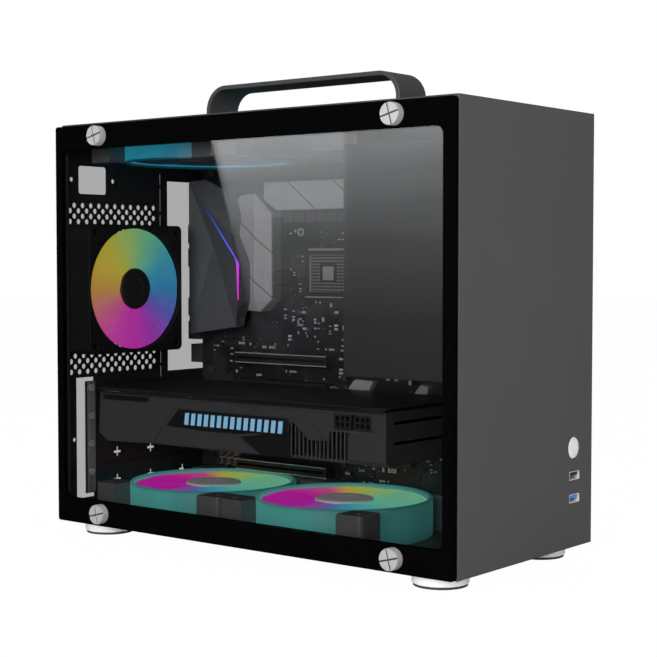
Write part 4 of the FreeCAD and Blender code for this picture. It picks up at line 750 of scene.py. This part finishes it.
def fan(key, size, wall, hub, reach, disc, barrel, matrix, body, frame_node, rotor_node, count):
    # With a reach the frame is a ring with corners beyond it, and without one it is a full square.
    shell = "fan_plastic" if reach else "fan_black"
    half, edge, rim = size / 2, 0.4, 0.5
    inner, outer = half - wall, half if reach else half - 0.1
    profile = [(inner, edge), (inner + edge, 0), (outer - edge, 0), (outer, edge), (outer, FAN_DEPTH - rim),
               (outer - rim, FAN_DEPTH), (inner + edge, FAN_DEPTH), (inner, FAN_DEPTH - edge), (inner, edge)]
    piece(key + "_barrel", lathe(profile, 96), barrel, matrix=matrix, nodes=[frame_node])
    if reach:
        corners = corner_blocks(size, reach)
    else:
        holes = [circle(x, y, FAN_HOLE, 16) for x, y in screw_places(size)]
        outline = [rounded(-half, half, -half, half, 4.0), circle(0, 0, inner + 0.05, 96)]
        corners = sheet(outline + holes, "XY", 0, FAN_DEPTH, 0.5, own_frame=True)
    piece(key + "_corners", corners, shell, matrix=matrix, nodes=[frame_node])
    piece(key + "_arms", frame_arms(size, wall, hub), shell, matrix=matrix, nodes=[frame_node])
    low, high, tip_gap, shaft_radius = 4.1, FAN_DEPTH - 1.0, 1.2, 1.5
    piece(key + "_blades", blades(inner - tip_gap, hub, high, count), disc, body,
          matrix=matrix, nodes=[rotor_node])
    shaft = lathe([(0, 0.65), (shaft_radius, 0.65), (shaft_radius, low), (0, low)], 24)
    piece(key + "_hub", join([hub_form(hub, low, high), shaft]), key.split("_")[0] + "_hub", body,
          matrix=matrix, nodes=[rotor_node])


def all_fans():
    lit_disc("rear_disc", REAR_STOPS, 1.6, 0.87)
    lit_disc("flat_disc", FLAT_STOPS, 1.9)
    lit_disc("top_disc", TOP_STOPS, 0.35)
    lit_barrel("bottom_ring", (0.075, 0.34, 0.31), 1.15, 0.7)
    lit_barrel("top_rear_ring", (0.015, 0.19, 0.28), 1.7, 0.12)
    # The front top ring is a dim copy of the rear one: painted shade over that fan's glow.
    lit_barrel("top_front_ring", (0.01, 0.03, 0.04), 0.4, 0.3)
    finish("fan_black", (0.008, 0.008, 0.008), 0.5, grain=0.1, scale=300, bump=0.03, specular=0.3)
    finish("rear_hub", (0.012, 0.01, 0.012), 0.6)
    # The bottom fans' hubs take a faint grey glow: painted light on the hubs.
    finish("bottom_hub", (0.5, 0.5, 0.505), 0.6, glow=(0.3, 0.3, 0.3, 0.35))
    finish("top_hub", (0.1, 0.1, 0.11), 0.5)
    to_rear = Matrix.Translation(at(SHEET, *REAR_FAN)) @ PLANES["YZ"]
    fan("rear", REAR_FAN_SIZE, 1.3, 14.8, 0.0, "rear_disc", "fan_black", to_rear,
        "rear_fan", "rear_fan_frame", "rear_fan_rotor", 9)
    middle = 84.0
    for level, z, turn, disc, starts in (("bottom", 1, 0.0, "flat_disc", (71.0, 191.3)),
                                         ("top", 279, math.pi, "top_disc", (67.6, 187.9))):
        for place, x in zip(("rear", "front"), starts):
            ring = "bottom_ring" if level == "bottom" else "top_" + place + "_ring"
            key = level + "_" + place
            matrix = Matrix.Translation(at(x, middle, z)) @ Matrix.Rotation(turn, 4, "X")
            fan(key, FAN_SIZE, 2.5, 20.0, 40.0, disc, ring, matrix,
                key + "_fan", level + "_fan_frame_" + place, level + "_fan_rotor_" + place, 7)


# Graphics card dressing

def card_relief():
    # Raised plates on the card's near face: each outline, how far it stands out, its thickness and its edge.
    plates = [([(5.2, 90.2), (262, 90.2), (262, 88.2), (60, 87.6), (5.2, 87.9)], 0.5, 0.7, 0.15),
              ([(60.6, 57.0), (158.0, 57.0), (140.6, 67.0), (70.6, 69.6)], 0.9, 1.1, 0.35),
              ([(9.6, 86.0), (9.6, 61.0), (13.6, 56.4), (59.4, 57.0), (69.0, 69.4), (82.2, 83.0), (80, 86.0)],
               0.6, 0.8, 0.25),
              ([(187.2, 80.4), (200.9, 82.6), (216.2, 69.8), (200.4, 69.4)], 0.8, 1.6, 0.3),
              ([(234.6, 58.6), (261.8, 58.6), (261.8, 74.8), (234.6, 74.8)], 0.7, 0.9, 0.3),
              ([(84.6, 83.0), (186.4, 82.8), (199.4, 83.8), (219.0, 88.0), (92, 87.4)], 0.4, 0.6, 0.2)]
    forms = [sheet([outline], "XZ", CARD_FACE - out, depth, edge) for outline, out, depth, edge in plates]
    piece("card_relief", join(forms), "card_plastic")
    # Near-black strips between the plates: painted shade in the gaps.
    gaps = [sheet([rectangle(9, 54.5, 84.6, 88.4)], "XZ", CARD_FACE - 0.7, 0.3),
            sheet([rectangle(4.4, 262.2, 89.3, 90.3)], "XZ", CARD_FACE - 0.75, 0.3)]
    piece("card_gap_shade", join(gaps), "card_dark")


def card_light():
    # A dark panel with a row of slanted glowing bars.
    outline = [(83.2, 81.8), (71.9, 69.2), (74.6, 68.0), (141.0, 69.0), (152.0, 69.8), (184.0, 70.8),
               (184.0, 81.8)]
    piece("light_cover", sheet([outline], "XZ", CARD_FACE - 0.15, 0.5, 0.1), "card_dark",
          nodes=["gpu_light_panel"])
    first, pitch, width, lean, low, high = 89.4, 6.05, 3.7, 1.0, 71.4, 79.6
    bars = []
    for i in range(15):
        x = first + i * pitch
        bar = [(x, low), (x + width, low + 0.1), (x + width + lean, high + 0.1), (x + lean, high)]
        bars.append(sheet([bar], "XZ", CARD_FACE - 0.3, 0.3))
    piece("light_bars", join(bars), "glow_blue")


def card_fins():
    # The front edges of the fin block behind the stepped opening, and a dark sheet beside them: painted shade
    # in the opening.
    first, pitch, thickness, low, high = 184.6, 3.4, 0.5, 57.6, 80.0
    starts = [first + i * pitch for i in range(15)]
    fins = [block(x, x + thickness, CARD_FACE + 1.0, CARD_FACE + 1.8, low, high) for x in starts]
    piece("fin_edges", join(fins), "fin_edge")
    piece("card_space_shade", sheet([rectangle(140, 184, 56.5, 72)], "XZ", CARD_FACE + 1.4, 0.4), "card_dark")


def card_pins():
    # Two frames round the power sockets, each with two rows of three openings.
    low, pitch, opening = 79.2, 4.1, 3.0
    frames = []
    for x0 in (221.2, 237.2):
        cells = []
        for column in range(3):
            for row in range(2):
                x, z = x0 + 1.2 + column * pitch, low + row * pitch
                cells.append(rectangle(x, x + opening, z, z + opening))
        outline = rectangle(x0 - 0.2, x0 + 13.8, 78.0, 87.6)
        frames.append(sheet([outline] + cells, "XZ", CARD_FACE - 0.1, 0.6, 0.1))
    piece("socket_frames", join(frames), "black_plastic")


# Motherboard dressing

def facets(points, faces):
    bm = bmesh.new()
    verts = [bm.verts.new(at(*p)) for p in points]
    for face in faces:
        bm.faces.new([verts[i] for i in face])
    return bm


def io_cover():
    # A faceted cover whose creases fan out from its upper rear corner to its lower front tip.
    outline = [(12.2, 244.5), (29, 245.6), (47.3, 237.2), (54.3, 218.7), (52.1, 203.9), (63.5, 183),
               (63.5, 154), (57, 143), (55.8, 135), (12.2, 128.7)]
    back = 134.6
    depths = [120.6, 121.0, 123.5, 126.5, 125.0, 125.2, 124.8, 124.0, 125.5, 120.8]
    inner = [(30.5, 225.0, 120.2), (61.0, 186.0, 120.4), (62.6, 156.0, 120.6), (31.8, 195.2, 127.0)]
    points = [(x, y, z) for (x, z), y in zip(outline, depths)] + [(x, y, z) for x, z, y in inner]
    points += [(x, back, z) for x, z in outline]
    count = len(outline)
    faces = [(0, 13, 9), (13, 8, 9), (0, 10, 13), (10, 11, 13), (11, 12, 13), (12, 8, 13), (12, 7, 8),
             (0, 1, 10), (1, 2, 10), (2, 3, 10), (3, 4, 10), (4, 11, 10), (4, 5, 11), (5, 12, 11), (5, 6, 12),
             (6, 7, 12)]
    for i in range(count):
        j = (i + 1) % count
        faces.append((i, j, j + count + 4, i + count + 4))
    faces.append(tuple(range(count + 4, 2 * count + 4))[::-1])
    bm = facets(points, faces)
    bmesh.ops.recalc_face_normals(bm, faces=bm.faces)
    piece("board_cover", bm, "cover_plastic", nodes=["io_cover"], angle=5)
    strip = facets([(30.2, 119.3, 224.5), (30.9, 119.3, 224.5), (62.2, 119.6, 186), (60.3, 119.4, 186),
                    (64.2, 119.8, 182.5), (61.6, 119.5, 182.5), (63.6, 119.9, 155), (62.6, 119.8, 155)],
                   [(0, 1, 2, 3), (3, 2, 4, 5), (5, 4, 6, 7)])
    bmesh.ops.solidify(strip, geom=strip.faces[:], thickness=-0.0006)
    bmesh.ops.recalc_face_normals(strip, faces=strip.faces)
    piece("cover_light", strip, "strip_glow")


def strip_glow():
    # Blue at the top that turns magenta below the knee.
    tree, shader, coords = start_material("strip_glow")
    low, high = at(0, 0, 155).z, at(0, 0, 225).z
    height = math_node(tree, "DIVIDE", math_node(tree, "SUBTRACT", axes(tree, coords)["Z"], low), high - low)
    colours = ramp(tree, height, [(0.0, (0.8, 0.03, 0.7, 1)), (0.36, (0.7, 0.06, 0.9, 1)),
                                  (0.46, (0.2, 0.1, 1.0, 1)), (0.75, (0.03, 0.16, 1.0, 1)),
                                  (1.0, (0.01, 0.05, 0.5, 1))])
    cloud = noise(tree, coords, 90.0, 1.0)
    link(tree, colours, shader.inputs["Emission Color"])
    link(tree, remap(tree, cloud, 1.5, 2.2), shader.inputs["Emission Strength"])
    link(tree, ramp(tree, cloud, [(0, grey(0.02)), (1, grey(0.05))]), shader.inputs["Base Color"])


def heatsinks():
    # Two grooved covers: one with a ridge beside the port cover, and a flat one above the processor.
    left = [(66.6, 234.6), (83, 219.8), (83, 155.6), (72.2, 146.5), (54.5, 147.4), (50, 176), (39, 202),
            (39, 218), (44, 228), (53, 234.0)]
    ridge = [(68.0, 226.0), (68.0, 153.0)]
    count = len(left)
    points = [(x, 135.0, z) for x, z in left] + [(x, 132.0, z) for x, z in ridge]
    points += [(x, BOARD_FACE, z) for x, z in left]
    faces = [(0, 10, 9), (0, 1, 10), (1, 2, 11, 10), (2, 3, 11), (3, 4, 11), (4, 5, 11), (5, 6, 10, 11),
             (6, 7, 10), (7, 8, 10), (8, 9, 10)]
    for i in range(count):
        j = (i + 1) % count
        faces.append((i, j, j + count + 2, i + count + 2))
    bm = facets(points, faces)
    bmesh.ops.recalc_face_normals(bm, faces=bm.faces)
    piece("left_heatsink", bm, "sink_metal", nodes=["vrm_heatsink_left"], angle=8)
    top = [(77.5, 242.8), (77.5, 229.6), (90, 221.6), (185, 221.6), (185, 242.8)]
    piece("top_heatsink", sheet([top], "XZ", BOARD_FACE - 13.8, 13.8, 0.8), "sink_metal",
          nodes=["vrm_heatsink_top"])


def clear_of(x, z, w, h, taken):
    return all(x + w < a or x > b or z + h < c or z > d for a, b, c, d in taken)


def small_parts():
    # Many small parts soldered to the board, laid in short rows.
    rng = random.Random(11)
    # Areas kept clear for larger parts: X from and to, then Z from and to.
    taken = [(0, 86, 128, 262), (86, 172, 209, 262), (108, 155, 155, 196), (40, 138, 104, 118),
             (0, 240, 86, 97), (44, 138, 24, 37), (165, 207, 108, 224), (172, 212, 54, 92), (20, 46, 26, 44)]
    pale, dark, metal = [], [], []
    for _ in range(800):
        x = rng.uniform(14, 238)
        z = rng.uniform(20, 224)
        across = rng.random() < 0.5
        length, width = rng.choice([(1.6, 0.8), (2.0, 1.2), (3.2, 1.6)])
        number = rng.choice([1, 2, 3, 4, 6])
        w = number * (width + 1.0) if across else length
        h = length if across else number * (width + 1.0)
        if not clear_of(x, z, w, h, taken):
            continue
        taken.append((x - 0.5, x + w + 0.5, z - 0.5, z + h + 0.5))
        for i in range(number):
            a = x + (i * (width + 1.0) if across else 0)
            b = z + (0 if across else i * (width + 1.0))
            dims = (width, length) if across else (length, width)
            group = pale if rng.random() < 0.55 else dark
            group.append(block(a, a + dims[0], BOARD_FACE - 1.0, BOARD_FACE, b, b + dims[1]))
    for _ in range(60):
        side = rng.choice([4.0, 5.0, 6.0, 8.0])
        x = rng.uniform(14, 230)
        z = rng.uniform(20, 216)
        if clear_of(x, z, side, side, taken):
            taken.append((x - 0.5, x + side + 0.5, z - 0.5, z + side + 0.5))
            dark.append(block(x, x + side, BOARD_FACE - 1.4, BOARD_FACE, z, z + side))
    for x, z in ((102.5, 205.8), (102.3, 139.2), (230, 49), (166, 49), (92, 56)):
        ring = [circle(x, z, 3.2, 28), circle(x, z, 1.6, 20)]
        metal.append(sheet(ring, "XZ", BOARD_FACE - 0.8, 0.8, 0.15))
    piece("board_pale_parts", join(pale), "pale_chip")
    piece("board_dark_parts", join(dark), "black_chip")
    piece("board_rings", join(metal), "plated_steel")
    caps = []
    for i in range(2):
        for j in range(3):
            x, z = 26.0 + j * 7.0, 30.6 + i * 7.0
            cap = lathe([(2.85, 0), (2.9, 7.2), (2.5, 7.7), (2.1, 7.6), (2.0, 7.4), (0, 7.4)], 28)
            cap.transform(Matrix.Rotation(math.radians(90), 4, "X"))
            cap.transform(Matrix.Translation(at(x, BOARD_FACE, z)))
            caps.append(cap)
    piece("board_cans", join(caps), "cap_cream")


def slot_edges():
    # Thin bright metal edges along the long card slots.
    inside, outside = 3.3, 3.9
    bars = []
    for z in (111.52, 30.24):
        for low, high in ((z + inside, z + outside), (z - outside, z - inside)):
            bars.append(block(46.3, 134.8, 134.7, 135.1, low, high))
    piece("slot_edges", join(bars), "edge_steel")


def board_covers():
    # Pale metal covers on the board's lower half that show between the supply and the card.
    dome = arc(131.0, 84.0, 10.2, 0, 180, 16)
    forms = [dome, [(156.9, 99.6), (174, 98.9), (168.7, 90.7), (149.6, 91.2)],
             [(208, 91), (220, 88.5), (220.9, 97.7), (214.9, 98.8)]]
    parts = [sheet([form], "XZ", BOARD_FACE - 6.0, 6.0, 0.4) for form in forms]
    piece("board_covers", join(parts), "pale_metal")


def socket_grid():
    # Rows of contacts round an empty middle, in a thin frame with a lever under it.
    pitch_x, pitch_z, side = 2.2, 2.3, 1.1
    pins = []
    for column in range(15):
        for row in range(12):
            x, z = 116.0 + column * pitch_x, 163.0 + row * pitch_z
            if not (123.0 < x < 139.5 and 169.5 < z < 181.5):
                pins.append(block(x, x + side, 141.3, 141.7, z, z + side))
    piece("socket_contacts", join(pins), "socket_grey")
    edges = [rectangle(113.4, 151.5, 160.4, 193.6), rectangle(115.2, 149.7, 162.2, 191.8)]
    lever = block(110.5, 152.5, 140.6, 141.4, 157.6, 158.6)
    middle = sheet([rounded(126.5, 136.5, 170.5, 180.5, 1.0)], "XZ", 141.2, 0.8, 0.2)
    frame_parts = [sheet(edges, "XZ", 141.0, 0.6, 0.15), lever, middle]
    piece("socket_frame", join(frame_parts), "socket_grey")


def extra_finishes():
    finish("glow_blue", (0.1, 0.2, 0.3), 0.4, glow=(0.2, 0.42, 0.62, 1.6))
    finish("fin_edge", (0.11, 0.11, 0.112), 0.45)
    finish("socket_grey", (0.3, 0.3, 0.305), 0.45, 0.2)
    # Painted shade for the bottoms of the screws' slots.
    finish("slot_shade_finish", (0.03, 0.03, 0.03), 0.6)
    finish("port_metal", (0.06, 0.06, 0.062), 0.4, 0.3, grain=0.05, edge=0.2)
    finish("cover_plastic", (0.1, 0.105, 0.115), 0.4, grain=0.15, scale=160, bump=0.08,
           stretch=(1.0, 1.0, 3.0))
    strip_glow()
    finish("edge_steel", (0.5, 0.5, 0.51), 0.4, 0.2)
    finish("pale_metal", (0.36, 0.36, 0.36), 0.5)


# Studio

def flat_plane(name, corners):
    bm = bmesh.new()
    bm.faces.new([bm.verts.new(corner) for corner in corners])
    mesh = bpy.data.meshes.new(name)
    bm.to_mesh(mesh)
    bm.free()
    obj = bpy.data.objects.new(name, mesh)
    bpy.context.scene.collection.objects.link(obj)
    return obj


def floor():
    # A pale floor that the camera sees as white but for faint shadows.
    z = at(0, 0, -8).z - 0.0002
    obj = flat_plane("floor", [(x, y, z) for x, y in ((-6, -6), (6, -6), (6, 6), (-6, 6))])
    tree, shader, coords = start_material("floor")
    shade_of = ramp(tree, noise(tree, coords, 2.0, 1.0), [(0, grey(0.82)), (1, grey(0.86))])
    link(tree, shade_of, shader.inputs["Base Color"])
    shader.inputs["Roughness"].default_value = 0.9
    shader.inputs["Specular IOR Level"].default_value = 0.0
    light = tree.nodes.new("ShaderNodeEmission")
    path = tree.nodes.new("ShaderNodeLightPath")
    mix = tree.nodes.new("ShaderNodeMixShader")
    link(tree, math_node(tree, "MULTIPLY", path.outputs["Is Camera Ray"], 0.985), mix.inputs["Fac"])
    link(tree, shader.outputs["BSDF"], mix.inputs[1])
    link(tree, light.outputs["Emission"], mix.inputs[2])
    show(tree, mix.outputs["Shader"])
    obj.data.materials.append(M["floor"])
    obj.visible_glossy = False


def mirror_card():
    # A softly lit card beside the camera, bright at its top. It shows only as a mirror image.
    y = -600.0
    corners = [at(x, y, z) for x, z in ((-760, -160), (-60, -160), (-60, 372), (-760, 372))]
    obj = flat_plane("mirror_card", corners)
    tree, shader, coords = start_material("mirror_card")
    tree.nodes.remove(shader)
    place = axes(tree, coords)
    low, high = at(0, 0, 50).z, at(0, 0, 330).z
    height = math_node(tree, "DIVIDE", math_node(tree, "SUBTRACT", place["Z"], low), high - low)
    level = ramp(tree, height, [(0.0, grey(0.0)), (0.25, grey(0.03)), (0.55, grey(0.18)), (0.8, grey(0.5)),
                                (1.0, grey(1.0))])
    streaks = noise(tree, coords, 3.0, 2.0, (1.0, 1.0, 9.0))
    level = math_node(tree, "MULTIPLY", level, remap(tree, streaks, 0.6, 1.4))
    # The card ends at a slanted line on its left and is dimmer to the right of an upright one.
    edge_top, edge_low, upright = at(-410.4, 0, 324.9), at(-380.0, 0, 225.0), at(-212.0, 0, 0).x
    slope = (edge_low.x - edge_top.x) / (edge_low.z - edge_top.z)
    rise = math_node(tree, "MULTIPLY", math_node(tree, "SUBTRACT", place["Z"], edge_top.z), slope)
    beyond = math_node(tree, "SUBTRACT", place["X"], math_node(tree, "ADD", rise, edge_top.x))
    past_upright = math_node(tree, "SUBTRACT", place["X"], upright)
    for distance, sharpness, before, after in ((beyond, 200.0, 0.0, 1.0), (past_upright, 150.0, 1.0, 0.68)):
        step = math_node(tree, "ADD", math_node(tree, "MULTIPLY", distance, sharpness), 0.5)
        share = ramp(tree, step, [(0.0, grey(before)), (1.0, grey(after))])
        level = math_node(tree, "MULTIPLY", level, share)
    light = tree.nodes.new("ShaderNodeEmission")
    link(tree, math_node(tree, "MULTIPLY", level, 3.1), light.inputs["Strength"])
    light.inputs["Color"].default_value = (0.95, 0.98, 1.0, 1)
    show(tree, light.outputs["Emission"])
    obj.data.materials.append(M["mirror_card"])
    obj.visible_camera = False
    obj.visible_diffuse = False
    obj.visible_shadow = False
    obj.visible_transmission = False


def lamp(name, place, target, size, power, glossy=True):
    data = bpy.data.lights.new(name, "AREA")
    data.size = size
    data.energy = power
    obj = bpy.data.objects.new(name, data)
    bpy.context.scene.collection.objects.link(obj)
    obj.location = place
    obj.rotation_euler = (Vector(target) - Vector(place)).to_track_quat("-Z", "Y").to_euler()
    obj.visible_camera = False
    obj.visible_glossy = glossy


def world():
    scene_world = bpy.data.worlds.new("studio")
    scene_world.use_nodes = True
    tree = scene_world.node_tree
    background = tree.nodes["Background"]
    path = tree.nodes.new("ShaderNodeLightPath")
    lit = math_node(tree, "ADD", math_node(tree, "MULTIPLY", path.outputs["Is Camera Ray"], 0.5), 0.5)
    dim = math_node(tree, "SUBTRACT", lit, math_node(tree, "MULTIPLY", path.outputs["Is Glossy Ray"], 0.48))
    link(tree, dim, background.inputs["Strength"])
    background.inputs["Color"].default_value = grey(1.0)
    bpy.context.scene.world = scene_world


def studio():
    floor()
    mirror_card()
    world()
    lamp("key", (0.9, -1.35, 0.75), (0, 0, 0.14), 0.9, 14.0)
    lamp("side", (1.7, 0.1, 0.6), (0.1, 0, 0.14), 1.0, 8.0)
    lamp("top", (-0.1, 0.2, 1.6), (0, 0, 0.2), 1.0, 8.0)
    lamp("window", (0.35, -1.25, 0.3), (0, 0, 0.15), 0.5, 12.0)
    data = bpy.data.cameras.new("camera")
    data.lens = 82.40
    data.sensor_width = 36.0
    data.clip_start = 0.05
    camera = bpy.data.objects.new("camera", data)
    bpy.context.scene.collection.objects.link(camera)
    camera.location = at(813.07, -712.99, 185.99)
    camera.rotation_euler = (math.radians(87.347), 0.0, math.radians(38.562))
    bpy.context.scene.camera = camera
    bpy.context.scene.view_settings.view_transform = "Standard"


extra_finishes()
dress_nodes()
glass_side()
thumbscrews()
feet()
handle()
front_face()
button()
usb_ports()
rear_face()
rail_strip()
all_fans()
card_relief()
card_light()
card_fins()
card_pins()
io_cover()
heatsinks()
small_parts()
slot_edges()
board_covers()
socket_grid()
studio()
